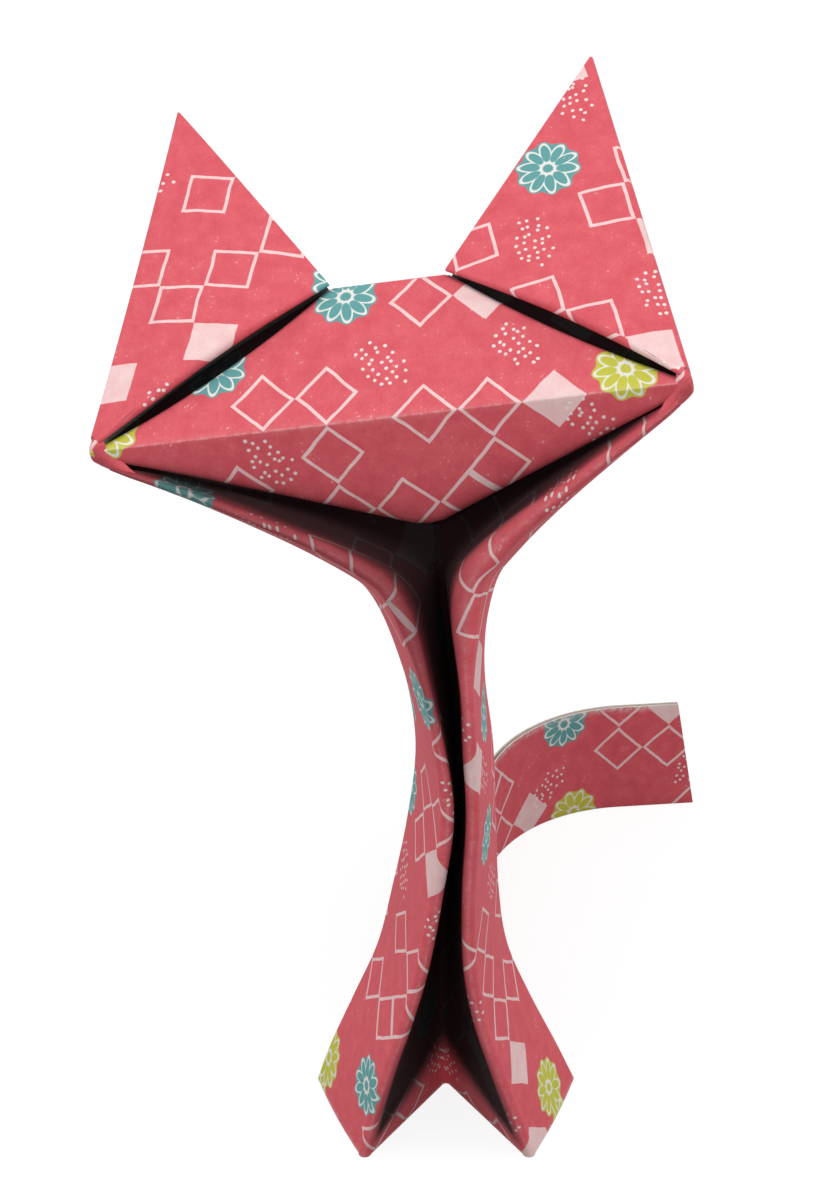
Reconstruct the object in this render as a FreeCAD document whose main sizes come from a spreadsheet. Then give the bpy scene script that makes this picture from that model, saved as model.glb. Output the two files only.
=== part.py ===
import FreeCAD, Part
import os
import Sketcher
from math import atan2, cos, degrees, pi, radians, sin, tan
from FreeCAD import Placement, Rotation, Vector

# Folded paper cat: one printed sheet, pleated into an M to make the legs and the neck,
# opened out again at the top for the throat, the chin and the face, and turned over
# behind the head, where its two corners come forward as the ears. A doubled strip left
# at the foot of the pleat stands on edge behind the cat as its tail.
# Frame: +Z up, the cat faces -Y, the origin is on the table under the pleat's rear ridge.

os.makedirs("parts", exist_ok=True)
doc = FreeCAD.newDocument("paper_cat")
sizes = doc.addObject("Spreadsheet::Sheet", "sizes")

driving = [
    ("paper", 0.4, "thickness of the sheet"),
    ("panel", 25.4, "width of one pleat panel, a quarter of the sheet"),
    ("fold_round", 1.1, "radius of the soft rolled folds beside the slit"),
    ("ridge_half", 0.6, "half width of the rear ridge where the two inner panels meet"),
    # legs and neck: height of each level, half widths at the rear edge and at the slit
    ("ground_rear", 25.2, "half width at the table, rear edges"),
    ("ground_slit", 14.4, "half width at the table, slit edges"),
    ("ankle_height", 9.0, "level of the ankle"),
    ("ankle_rear", 21.9, "half width at the ankle, rear edges"),
    ("ankle_slit", 12.2, "half width at the ankle, slit edges"),
    ("shin_height", 21.0, "level of the shin"),
    ("shin_rear", 16.9, "half width at the shin, rear edges"),
    ("shin_slit", 8.8, "half width at the shin, slit edges"),
    ("knee_height", 33.0, "level of the knee"),
    ("knee_rear", 12.4, "half width at the knee, rear edges"),
    ("knee_slit", 5.4, "half width at the knee, slit edges"),
    ("hip_height", 46.0, "level of the hip"),
    ("hip_rear", 10.1, "half width at the hip, rear edges"),
    ("hip_slit", 2.9, "half width at the hip, slit edges"),
    ("waist_height", 62.0, "level of the waist"),
    ("waist_rear", 8.3, "half width at the waist, rear edges"),
    ("waist_slit", 1.5, "half width at the waist, slit edges"),
    ("chest_height", 78.0, "level of the chest"),
    ("chest_rear", 7.2, "half width at the chest, rear edges"),
    ("chest_slit", 0.9, "half width at the chest, slit edges"),
    ("neck_height", 93.0, "level of the neck"),
    ("neck_rear", 7.3, "half width at the neck, rear edges"),
    ("neck_slit", 1.3, "half width at the neck, slit edges"),
    ("collar_height", 105.0, "level of the collar"),
    ("collar_rear", 9.2, "half width at the collar, rear edges"),
    ("collar_slit", 2.2, "half width at the collar, slit edges"),
    ("foot_depth", 22.0, "from the rear ridge to the front of the feet"),
    ("body_depth", 24.0, "from the rear ridge to the front folds higher up"),
    ("sway", 1.9, "how far the pleat's middle leans sideways at the chest"),
    ("knee_sway", 1.6, "how far it leans the other way between the table and the chest"),
    ("rear_twist", 2.0, "extra sideways lean of the rear edges at the collar"),
    ("rear_set", 1.4, "how far the raw rear edges stand behind the ridge"),
    # head
    ("head_half", 50.8, "half of the head's width, corner to corner"),
    ("corner_pull", 2.2, "how far the head's left corner is drawn out further"),
    ("head_x", -10.0, "middle of the brow, sideways"),
    ("head_y", -6.1, "middle of the brow, front to back"),
    ("head_z", 148.3, "middle of the brow, height"),
    ("head_roll", 9.9, "sideways tilt of the head, degrees"),
    ("head_yaw", 5.2, "turn of the head, degrees"),
    ("face_lean", 55.2, "lean of the face back from upright, degrees"),
    ("chin_drop", 21.7, "from the brow down to the chin point"),
    ("chin_shift", 2.9, "sideways place of the chin point"),
    ("chin_set", 8.0, "depth of the throat behind the chin point"),
    ("throat_drop", 3.5, "how far the throat's roof falls towards its back"),
    ("lip_front", 22.5, "how far the lips stand in front of the ridge"),
    ("lip_sag", 4.2, "how far the lips' crests droop where they leave the neck"),
    ("lip_end_drop", 3.4, "how far under the head's corners the lips end"),
    ("lip_half", 5.6, "half the distance between the lips' crests where the throat opens"),
    ("lip_low", 2.0, "how far below the chin point the lips begin"),
    ("lip_back", 2.0, "how far behind the foremost line of the lips their crests begin"),
    ("lip_pinch", 1.0, "how far the lips draw together where they leave the neck"),
    ("lip_end_in", 1.6, "how far inside the head's corners the lips end"),
    ("lip_end_front", 0.8, "how far in front of the brow the lips' crests end"),
    ("lip_tuck", 1.6, "how far the lips' last row tucks up into the corners"),
    ("shoulder_half", 10.0, "half width of the rear edges where the throat opens"),
    ("shoulder_set", 6.0, "how far behind the brow the rear edges stand there"),
    ("shoulder_drop", 12.5, "how far below the lips the rear edges stand there"),
    ("shoulder_shift", 2.0, "how far left of the chin point the rear edges' middle lies there"),
    ("rear_end_set", 2.6, "how far behind the brow the rear edges end at the head's corners"),
    ("rear_end_drop", 1.2, "how far below the lips' crests the rear edges end there"),
    ("rear_bulge", 0.3, "how far the rear edges bow up on the way to the corners"),
    ("rear_bulge_more", 0.9, "how much more they bow up on the right, and less on the left"),
    ("chin_roll", 1.0, "size of the rolled edge along the chin"),
    ("corner_roll", 1.0, "size of that rolled edge at the head's corners"),
    ("ear_leg", 49.1, "lower and inner edges of an ear"),
    ("ear_rise", 33.65, "angle between an ear's lower edge and the brow, degrees"),
    ("ear_lift", 1.1, "how far the middle of an ear's lower edge lifts off the face"),
    ("ear_roll", 1.0, "radius of the turned-under lower edge of an ear"),
    ("ear_hollow", 0.4, "how far the middle of an ear's lower edge curves up"),
    ("edge_in", 1.3, "how far the face's edge draws in under the middle of an ear"),
    ("edge_fall", 0.95, "how far the face's edge bends down under the middle of an ear"),
    ("edge_seat", 0.15, "how far the face's edge bends down at its ends"),
    ("edge_fold", 2.2, "width of the strip along the face's edge that bends down"),
    ("ear_tuck", 2.7, "how far an ear's lower edge is turned under at its middle"),
    ("ear_tuck_end", 0.3, "how far it is turned under at its ends"),
    ("ear_crown", 0.5, "how far the middle of an ear's front bulges"),
    ("ear_lap", 1.2, "how far an ear's front laps over its back at the outer edge"),
    ("ear_front", 0.8, "height of an ear's front over the face's plane at the outer edge"),
    ("ear_wrap", 0.5, "how far the fold stands out along an ear's outer edge"),
    ("head_gap", 3.4, "gap between the face and the back of the head at the brow"),
    ("tip_gap", 0.25, "the same gap at the ears' tips"),
    ("top_lap", 1.2, "how far the turned-over top laps down over the back of the head"),
    ("back_lower", 0.4, "how far the back's edge between the ears stays below the top"),
    ("corner_wrap", 1.0, "how far the sheet stands out where it wraps round a head corner"),
    # tail
    ("tail_reach", 93.8, "from the ridge back to where the tail's two runs would meet"),
    ("tail_turn", 34.0, "radius of the tail's bend"),
    ("tail_out", 44.5, "from that meeting place out to the tail's end"),
    ("tail_splay", 7.3, "angle of the tail's first run off straight back, degrees"),
    ("tail_swing", 6.0, "angle of the tail's last run off straight sideways, degrees"),
    ("tail_rise", 1.0, "how much taller than one panel the tail stands"),
    ("tail_slant", 4.5, "how far the tail's end leans back over its height"),
    ("tail_gap", 0.7, "space between the two layers of the tail"),
    ("tail_root", 0.9, "how far the tail's strip starts in front of the ridge"),
    ("tail_offcut", 4.0, "reach past the tail's end of the piece that is trimmed off"),
    ("trim_over", 1.0, "reach of that piece above and below the strip"),
]
for row, (alias, value, note) in enumerate(driving, start=2):
    sizes.set("A%d" % row, alias)
    sizes.set("B%d" % row, str(value))
    sizes.set("C%d" % row, note)
    sizes.setAlias("B%d" % row, alias)
doc.recompute()


def size(alias):
    """Value of one driving size."""
    return float(sizes.get(alias))


# ---------------------------------------------------------------- helpers for thin folded sheet
def mix(first, second, share):
    """Point at a share of the way from first to second."""
    return first + (second - first) * share


def skin_normals(rows):
    """Offset direction at every corner of a grid, long enough to keep the thickness."""
    last_i = len(rows) - 1
    last_j = len(rows[0]) - 1
    cell = {}
    for i in range(last_i):
        for j in range(last_j):
            across = rows[i + 1][j + 1] - rows[i][j]
            back = rows[i + 1][j] - rows[i][j + 1]
            normal = across.cross(back)
            normal.normalize()
            cell[i, j] = normal
    result = []
    for i in range(last_i + 1):
        line = []
        for j in range(last_j + 1):
            near = []
            for di in (-1, 0):
                for dj in (-1, 0):
                    if (i + di, j + dj) in cell:
                        near.append(cell[i + di, j + dj])
            total = Vector(0, 0, 0)
            for normal in near:
                total = total + normal
            total.normalize()
            reach = min(total.dot(normal) for normal in near)
            line.append(total * min(1.0 / max(reach, 0.1), 1.35))
        result.append(line)
    return result


def patch(a, b, c, d):
    """Flat faces over four corners: one where they are level, else two across the short diagonal."""
    normal = (b - a).cross(c - a)
    if normal.Length > 1e-9:
        normal.normalize()
        if abs(normal.dot(d - a)) < 1e-6 and (c - a).cross(d - a).Length > 1e-9:
            return [Part.Face(Part.makePolygon([a, b, c, d, a]))]
    if (c - a).Length <= (d - b).Length:
        corners = [(a, b, c), (a, c, d)]
    else:
        corners = [(a, b, d), (b, c, d)]
    return [Part.Face(Part.makePolygon([p, q, r, p])) for p, q, r in corners]


def thin_sheet(rows, thickness, stands=False):
    """Closed solid of even thickness about a grid of points; its first row can stand on the table."""
    normals = skin_normals(rows)
    if stands:
        normals[0] = [Vector(normal.x, normal.y, 0) for normal in normals[0]]
    half = thickness / 2.0
    upper = []
    lower = []
    for points, offsets in zip(rows, normals):
        upper.append([p + n * half for p, n in zip(points, offsets)])
        lower.append([p - n * half for p, n in zip(points, offsets)])
    faces = []
    last_i = len(rows) - 1
    last_j = len(rows[0]) - 1
    for i in range(last_i):
        for j in range(last_j):
            faces += patch(upper[i][j], upper[i][j + 1], upper[i + 1][j + 1], upper[i + 1][j])
            faces += patch(lower[i][j], lower[i + 1][j], lower[i + 1][j + 1], lower[i][j + 1])
    for i in range(last_i):
        faces += patch(upper[i][0], upper[i + 1][0], lower[i + 1][0], lower[i][0])
        faces += patch(upper[i][last_j], lower[i][last_j], lower[i + 1][last_j], upper[i + 1][last_j])
    for j in range(last_j):
        faces += patch(upper[0][j], lower[0][j], lower[0][j + 1], upper[0][j + 1])
        faces += patch(upper[last_i][j], upper[last_i][j + 1], lower[last_i][j + 1], lower[last_i][j])
    shell = Part.makeShell(faces)
    shell.sewShape()
    solid = Part.makeSolid(shell.Shells[0])
    if solid.Volume < 0:
        solid.reverse()
    return solid


def curl(centre, across, nose, radius):
    """Five points round a soft fold, from one side over the nose to the other."""
    points = []
    for angle in (-90.0, -45.0, 0.0, 45.0, 90.0):
        turn = radians(angle)
        points.append(centre + across * (radius * sin(turn)) + nose * (radius * cos(turn)))
    return points


def flattened(direction, along):
    """Direction square to a line."""
    level = direction - along * direction.dot(along)
    level.normalize()
    return level


def pleat_row(ridge, crests, rears, along, radius, blunt):
    """One line across the pleated sheet: raw edge, soft fold, rear ridge, soft fold, raw edge."""
    sideways = crests[1] - crests[0]
    sideways.normalize()
    halves = []
    for side, crest, rear, run in ((-1, crests[0], rears[0], along[0]), (1, crests[1], rears[1], along[1])):
        outward = flattened(rear - crest, run)
        inward = flattened(ridge - crest, run)
        nose = (outward + inward) * -1.0
        nose.normalize()
        across = outward - inward
        across = across - nose * across.dot(nose)
        across.normalize()
        fold = curl(crest - nose * radius, across, nose, radius)
        root = ridge + sideways * (side * blunt) + (fold[0] - ridge) * (blunt / (fold[0] - ridge).Length)
        half = [root, mix(root, fold[0], 0.5)] + fold + [mix(fold[4], rear, 0.5), rear]
        halves.append(half)
    return halves[0][::-1] + [ridge] + halves[1]


# ---------------------------------------------------------------- head frame
lean = radians(size("face_lean"))
head_turn = Rotation(Vector(0, 0, 1), -size("head_yaw")) * Rotation(Vector(0, 1, 0), -size("head_roll"))
head = Placement(Vector(size("head_x"), size("head_y"), size("head_z")), head_turn)
up_face = Vector(0, sin(lean), cos(lean))
off_face = Vector(0, -cos(lean), sin(lean))
half_head = size("head_half")
rise = radians(size("ear_rise"))
leg = size("ear_leg")
base_side = half_head - leg * cos(rise)
base_up = leg * sin(rise)
tip_side = half_head - leg * (cos(rise) - sin(rise))
tip_up = leg * (cos(rise) + sin(rise))


def on_head(point):
    """Point of the head's own frame, with the left corner drawn out, placed in the part's frame."""
    drawn_out = size("corner_pull") * max(0.0, -point.x / half_head) ** 6
    return head.multVec(point - Vector(drawn_out, 0, 0))


def on_face(side, height, out=0.0):
    """Point of the face's leaning plane: sideways, up the face, off the face."""
    return Vector(side, 0, 0) + up_face * height + off_face * out


# ---------------------------------------------------------------- legs, neck and throat
paper = size("paper")
blunt = size("ridge_half")
roll = size("fold_round")
chin_low = on_head(Vector(size("chin_shift"), 0, -size("chin_drop")))
throat_back = Vector(size("chin_shift"), size("chin_set"), -size("chin_drop") - size("throat_drop"))
throat_top = on_head(throat_back)


def pleat_middle(height):
    """Sideways place of the pleat's middle: an S up to the chest, and then in to the chin."""
    chest = size("chest_height")
    sway = size("sway")
    if height <= chest:
        return sway * sin(height / chest * pi / 2) ** 2 - size("knee_sway") * sin(height / chest * pi)
    share = (height - chest) / (chin_low.z - chest)
    return sway + (chin_low.x - sway) * share ** 1.3


levels = ["ground", "ankle", "shin", "knee", "hip", "waist", "chest", "neck", "collar"]
stations = []
for level in levels:
    height = 0.0 if level == "ground" else size(level + "_height")
    share = min(1.0, height / size("hip_height"))
    depth = size("foot_depth") + (size("body_depth") - size("foot_depth")) * share
    middle = pleat_middle(height)
    crest = size(level + "_slit") + paper / 2 + roll
    rear = size(level + "_rear") - paper / 2
    crests = [Vector(middle + side * crest, -depth, height) for side in (-1, 1)]
    rise_above = max(0.0, height - size("waist_height")) / (size("collar_height") - size("waist_height"))
    behind = middle - size("rear_twist") * rise_above
    rears = [Vector(behind + side * rear, size("rear_set"), height) for side in (-1, 1)]
    stations.append((Vector(middle, 0, height), crests, rears, roll))

# The throat: above the collar the two soft folds part and run out to the head's corners
lip_middle = size("chin_shift")
lip_low = size("chin_drop") + size("lip_low")
lip_out = size("lip_front") + size("head_y")
throat_low = mix(Vector(pleat_middle(size("collar_height")), 0, size("collar_height")), throat_top, 0.5)
for share in (0.0, 0.07, 0.16, 0.3, 0.5, 0.7, 0.86, 0.95, 1.0):
    lift = Vector(0, 0, size("lip_tuck") if share == 1.0 else 0.0)
    sag = max(0.0, 1.0 - share / 0.3) ** 2
    swell = sin(share * pi)
    crests = []
    rears = []
    for side in (-1, 1):
        lip = Vector(lip_middle + side * size("lip_half"), size("lip_back") - lip_out, -lip_low)
        end_side = side * (half_head - size("lip_end_in"))
        lip_end = Vector(end_side, -size("lip_end_front"), -size("lip_end_drop"))
        shoulder = Vector(lip_middle - size("shoulder_shift") + side * size("shoulder_half"),
                          size("shoulder_set"), -lip_low - size("shoulder_drop"))
        rear_end = Vector(end_side, size("rear_end_set"), -size("lip_end_drop") - size("rear_end_drop"))
        droop = Vector(-side * size("lip_pinch"), 0, -size("lip_sag"))
        crest = mix(lip, lip_end, share) + droop * sag
        bulge = size("rear_bulge") + side * size("rear_bulge_more")
        rear = mix(shoulder, rear_end, share) + Vector(0, 0, bulge) * swell
        crests.append(on_head(crest + lift))
        rears.append(on_head(rear + lift))
    ridge = mix(throat_low, throat_top, share) + lift
    stations.append((ridge, crests, rears, roll * (1.0 - 0.45 * share)))

pleat_rows = []
for place, (ridge, crests, rears, radius) in enumerate(stations):
    below = stations[max(place - 1, 0)]
    above = stations[min(place + 1, len(stations) - 1)]
    along = []
    for index in (0, 1):
        run = above[1][index] - below[1][index]
        run.normalize()
        along.append(run if place > 0 else Vector(0, 0, 1))
    pleat_rows.append(pleat_row(ridge, crests, rears, along, radius, blunt))

pleat = doc.addObject("Part::Feature", "pleated_legs_and_throat")
pleat.Shape = thin_sheet(pleat_rows, paper, stands=True)

# ---------------------------------------------------------------- chin, face and turned-over top
chin = Vector(size("chin_shift"), 0, -size("chin_drop"))
face_rows = []
shares = (-1.0, -0.93, -0.62, -0.31, 0.0, 0.31, 0.62, 0.93, 1.0)


def bent_line(middle, offset, end_offset):
    """Row of the head from corner to corner; its offsets are shares of the rolled edge's sizes."""
    row = []
    centre = middle + Vector(0, offset[0], offset[1]) * size("chin_roll")
    drop = Vector(0, end_offset[0], end_offset[1]) * size("corner_roll")
    for share in shares:
        end = Vector(half_head if share > 0 else -half_head, 0, 0) + drop
        row.append(mix(centre, end, abs(share)))
    return row


# From the throat's roof round the rolled edge and up the chin to the brow
brow = Vector(0, 0, 0)
for middle, offset, end_offset in (
    (throat_back, (0.8, -1.5), (2.4, -4.6)),
    (chin, (2.2, -0.2), (1.5, -2.4)),
    (chin, (1.0, -0.5), (0.9, -2.3)),
    (chin, (0.1, 0.2), (0.3, -1.8)),
    (chin, (-0.2, 1.6), (0.1, -1.2)),
    (mix(chin, brow, 0.5), (-0.4, 0.0), (0.0, -0.6)),
    (brow, (0.0, 0.0), (0.0, 0.0)),
):
    face_rows.append(bent_line(middle, offset, end_offset))
for share in (0.08, 0.25, 0.5, 0.75, 0.93):
    row = []
    bow = sin(share * pi)
    side_at = half_head + (base_side - half_head) * share - size("edge_in") * bow
    up_at = base_up * share
    for place in shares:
        side = side_at * place
        drop = 0.0
        if abs(place) == 1.0:
            drop = -size("edge_seat") - size("edge_fall") * bow
        elif abs(place) == 0.93:
            side = side_at * place / 0.93 - (size("edge_fold") if place > 0 else -size("edge_fold"))
        row.append(on_face(side, up_at, drop))
    face_rows.append(row)
gap_at_top = size("head_gap") * (1.0 - base_up / tip_up)
for step in (20.0, 60.0, 100.0, 140.0, 172.0):
    turn = radians(step)
    radius = gap_at_top / 2.0
    out = radius * cos(turn) - radius
    height = base_up - radius + radius * sin(turn)
    if step == 172.0:
        height = height - size("top_lap")
        out = out - size("tip_gap")
    face_rows.append([on_face(base_side * place, height, out) for place in shares])

face = doc.addObject("Part::Feature", "chin_and_face")
face.Shape = thin_sheet([[on_head(p) for p in row] for row in face_rows], paper)

# ---------------------------------------------------------------- back of the head with the ears' backs
plate_lean = degrees(atan2(size("head_gap") - size("tip_gap"), tip_up))
back = doc.addObject("PartDesign::Body", "back_of_head")


def plane_of(body, role):
    """One of a body's own origin planes."""
    for item in body.Origin.OriginFeatures:
        if item.Role == role:
            return item


def outline(body, name, role, corners):
    """Closed outline with every corner tied to the sizes by its own expressions."""
    sketch = body.newObject("Sketcher::SketchObject", name)
    sketch.AttachmentSupport = [(plane_of(body, role), "")]
    sketch.MapMode = "FlatFace"
    count = len(corners)
    for index in range(count):
        first = corners[index][2]
        second = corners[(index + 1) % count][2]
        sketch.addGeometry(Part.LineSegment(Vector(first[0], first[1], 0), Vector(second[0], second[1], 0)))
    for index in range(count):
        sketch.addConstraint(Sketcher.Constraint("Coincident", index, 2, (index + 1) % count, 1))
    for index, (across, along, guess) in enumerate(corners):
        for kind, text, value in (("DistanceX", across, guess[0]), ("DistanceY", along, guess[1])):
            place = sketch.addConstraint(Sketcher.Constraint(kind, -1, 1, index, 1, value))
            sketch.setExpression("Constraints[%d]" % place, text)
    return sketch


ear_side = ("(<<sizes>>.head_half - <<sizes>>.ear_leg"
            " * (cos(<<sizes>>.ear_rise * 1deg) - sin(<<sizes>>.ear_rise * 1deg)))")
ear_up = "(<<sizes>>.ear_leg * (cos(<<sizes>>.ear_rise * 1deg) + sin(<<sizes>>.ear_rise * 1deg)))"
root_side = "(<<sizes>>.head_half - <<sizes>>.ear_leg * cos(<<sizes>>.ear_rise * 1deg))"
root_up = "(<<sizes>>.ear_leg * sin(<<sizes>>.ear_rise * 1deg))"
lower_edge = root_up + " - <<sizes>>.back_lower"
back_lower = size("back_lower")
back_corners = [
    ("-<<sizes>>.head_half - <<sizes>>.corner_pull", "0", (-half_head - size("corner_pull"), 0)),
    ("<<sizes>>.head_half", "0", (half_head, 0)),
    (ear_side, ear_up, (tip_side, tip_up)),
    (root_side, lower_edge, (base_side, base_up - back_lower)),
    ("-" + root_side, lower_edge, (-base_side, base_up - back_lower)),
    ("-" + ear_side, ear_up, (-tip_side, tip_up)),
]
back_outline = outline(back, "back_outline", "XY_Plane", back_corners)
back_pad = back.newObject("PartDesign::Pad", "back_pad")
back_pad.Profile = back_outline
back_pad.Midplane = True
back_pad.setExpression("Length", "<<sizes>>.paper")
# The plate stands on its lower edge behind the brow and leans in to the ears' tips
face_turn = Rotation(Vector(1, 0, 0), 90.0 - size("face_lean"))
lean_in = Rotation(Vector(1, 0, 0), plate_lean)
back.Placement = head * Placement(off_face * -size("head_gap"), face_turn * lean_in)


# ---------------------------------------------------------------- fronts of the ears
def back_out(height):
    """How far the back of the head lies behind the face's plane at a height."""
    return -size("head_gap") + (size("head_gap") - size("tip_gap")) * height / tip_up


def ear_front(side):
    """Front layer of an ear: out of the back layer, round the outer edge, down to the rolled edge."""
    rows = []
    for share in (0.01, 0.1, 0.28, 0.46, 0.64, 0.8, 0.92):
        bow = sin(share * pi)
        length = leg * (1.0 - share)
        low_side = base_side + leg * cos(rise) * share
        low_up = base_up * (1.0 - share)
        high_side = tip_side + (half_head - tip_side) * share
        high_up = tip_up * (1.0 - share)
        toward = Vector(sin(rise), cos(rise), 0)
        outer = Vector(tip_up, half_head - tip_side, 0)
        outer.normalize()
        radius = size("ear_roll") * (0.45 + 0.55 * bow)
        tuck = size("ear_tuck_end") + size("ear_tuck") * bow
        behind = back_out(high_up) + paper * 0.6
        front = size("ear_front")
        level = front + 2.0 * radius + size("ear_lift") * bow ** 1.2
        low_up_at = low_up + size("ear_hollow") * bow
        half_wrap = (front - behind) / 2
        lap = size("ear_lap")
        line = [(high_side - outer.x * lap, high_up - outer.y * lap, behind)]
        for angle in (-90.0, -45.0, 0.0, 45.0, 90.0):
            reach = size("ear_wrap") * cos(radians(angle))
            rise_at = behind + half_wrap * (1.0 + sin(radians(angle)))
            line.append((high_side + outer.x * reach, high_up + outer.y * reach, rise_at))
        for part in (0.35, 0.7):
            across = high_side + (low_side - high_side) * part
            upward = high_up + (low_up_at - high_up) * part
            line.append((across, upward, front + (level - front) * part + size("ear_crown") * bow))
        for angle in (90.0, 45.0, 0.0, -45.0, -90.0):
            reach = 1.0 - cos(radians(angle))
            drop = 1.0 - sin(radians(angle))
            line.append((low_side + toward.x * radius * -reach, low_up_at + toward.y * radius * reach,
                         level - radius * drop))
        line.append((low_side - toward.x * (radius + tuck), low_up_at + toward.y * (radius + tuck),
                     level - 2.0 * radius))
        rows.append([on_head(on_face(side * a, b, c)) for a, b, c in line])
    return thin_sheet(rows, paper)


def corner_wrap(side):
    """Short run of the sheet round a head corner, from the ear's outer edge down to the lip's end."""
    rows = []
    slope = tan(lean)
    wrap = size("corner_wrap")
    last = size("lip_end_drop") + 0.6 * wrap
    # How far below the brow each row lies, and its reach and half depth as shares of the wrap
    for low, out, deep in ((-2.6 * wrap, 0.75, 1.9), (-0.3 * wrap, 1.0, 2.2), (2.0 * wrap, 0.8, 2.1),
                           (last, 0.3, 1.8)):
        line = []
        for angle in (-90.0, -60.0, -30.0, 0.0, 30.0, 60.0, 90.0):
            turn = radians(angle)
            back_by = 0.5 * wrap - slope * min(low, 0.0)
            reach = (out * cos(turn) - 0.8) * wrap
            side_at = side * (half_head + min(low, 0.0) * 0.35 + reach)
            line.append(on_head(Vector(side_at, back_by - deep * wrap * sin(turn), -low)))
        rows.append(line)
    return thin_sheet(rows, paper)


ears = []
for name, side in (("ear_front_left", -1), ("ear_front_right", 1)):
    ear = doc.addObject("Part::Feature", name)
    ear.Shape = ear_front(side)
    ears.append(ear)
for name, side in (("corner_wrap_left", -1), ("corner_wrap_right", 1)):
    wrap = doc.addObject("Part::Feature", name)
    wrap.Shape = corner_wrap(side)
    ears.append(wrap)

# ---------------------------------------------------------------- tail
tail = doc.addObject("PartDesign::Body", "tail_strip")
path = tail.newObject("Sketcher::SketchObject", "tail_path")
path.AttachmentSupport = [(plane_of(tail, "XY_Plane"), "")]
path.MapMode = "FlatFace"
splay = radians(size("tail_splay"))
swing = radians(size("tail_swing"))
meet = Vector(size("tail_reach") * tan(splay), size("tail_reach"), 0)
run_back = Vector(sin(splay), cos(splay), 0)
run_out = Vector(cos(swing), sin(swing), 0)
turn_angle = pi / 2 - splay - swing
setback = size("tail_turn") * tan(turn_angle / 2)
bend_in = meet - run_back * setback
bend_out = meet + run_out * setback
start = run_back * -size("tail_root")
finish = meet + run_out * size("tail_out")
middle_way = run_out - run_back
middle_way.normalize()
bend_mid = meet + middle_way * (size("tail_turn") / cos(turn_angle / 2) - size("tail_turn"))
path.addGeometry(Part.LineSegment(start, bend_in))
path.addGeometry(Part.Arc(bend_in, bend_mid, bend_out))
path.addGeometry(Part.LineSegment(bend_out, finish))
half_wide = size("tail_gap") / 2 + paper
tall = size("panel") + size("tail_rise")
outer_x = "(<<sizes>>.tail_gap / 2 + <<sizes>>.paper)"
inner_x = "(<<sizes>>.tail_gap / 2)"
top_z = "(<<sizes>>.panel + <<sizes>>.tail_rise)"
section_corners = [
    ("-" + outer_x, top_z, (-half_wide, tall)),
    ("-" + outer_x, "<<sizes>>.paper", (-half_wide, paper)),
    ("-" + inner_x, "0", (paper - half_wide, 0)),
    (inner_x, "0", (half_wide - paper, 0)),
    (outer_x, "<<sizes>>.paper", (half_wide, paper)),
    (outer_x, top_z, (half_wide, tall)),
    (inner_x, top_z, (half_wide - paper, tall)),
    (inner_x, "<<sizes>>.paper * 1.5", (half_wide - paper, 1.5 * paper)),
    ("0", "<<sizes>>.paper", (0, paper)),
    ("-" + inner_x, "<<sizes>>.paper * 1.5", (paper - half_wide, 1.5 * paper)),
    ("-" + inner_x, top_z, (paper - half_wide, tall)),
]
profile = outline(tail, "tail_section", "XZ_Plane", section_corners)
profile.AttachmentOffset = Placement(Vector(start.x, 0, -start.y), Rotation())
strip = tail.newObject("PartDesign::AdditivePipe", "tail_folded_strip")
strip.Profile = profile
strip.Spine = (path, [])
strip.Transition = "Right corner"
doc.recompute()
end_x = ("(<<sizes>>.tail_reach * tan(<<sizes>>.tail_splay * 1deg)"
         " + <<sizes>>.tail_out * cos(<<sizes>>.tail_swing * 1deg))")
slant = size("tail_slant")
offcut = size("tail_offcut")
over = size("trim_over")
under_z = "-<<sizes>>.trim_over"
over_z = top_z + " + <<sizes>>.trim_over"
trim_corners = [
    (end_x, under_z, (finish.x, -over)),
    (end_x + " + <<sizes>>.tail_offcut", under_z, (finish.x + offcut, -over)),
    (end_x + " + <<sizes>>.tail_offcut", over_z, (finish.x + offcut, tall + over)),
    (end_x + " - <<sizes>>.tail_slant", over_z, (finish.x - slant, tall + over)),
]
trim_outline = outline(tail, "tail_end_outline", "XZ_Plane", trim_corners)
trim = tail.newObject("PartDesign::Pocket", "tail_end_trim")
trim.Profile = trim_outline
trim.Type = "ThroughAll"
trim.Midplane = True

# ---------------------------------------------------------------- the one sheet
folded = doc.addObject("Part::MultiFuse", "folded_sheet")
folded.Label = "folded_sheet"
folded.Shapes = [pleat, face, back, tail] + ears
doc.recompute()

for item in doc.Objects:
    if "Invalid" in item.State or "Error" in item.State:
        raise RuntimeError("%s failed: %s" % (item.Name, item.State))
for item in [pleat, face, back, tail, folded] + ears:
    if item.Shape.isNull() or not item.Shape.isValid():
        raise RuntimeError("%s has no valid shape" % item.Name)
if len(folded.Shape.Solids) != 1:
    raise RuntimeError("the sheet is in %d parts" % len(folded.Shape.Solids))
for item in (folded,):
    item.Shape.exportStep("parts/%s.step" % item.Label)
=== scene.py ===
"""Dresses the folded paper cat: one strip of printed paper, pleated, opened out and curled."""

import logging
import math
from dataclasses import dataclass, field
from enum import Enum
from functools import reduce

import bpy
import numpy as np
from mathutils import Matrix, Vector


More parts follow.
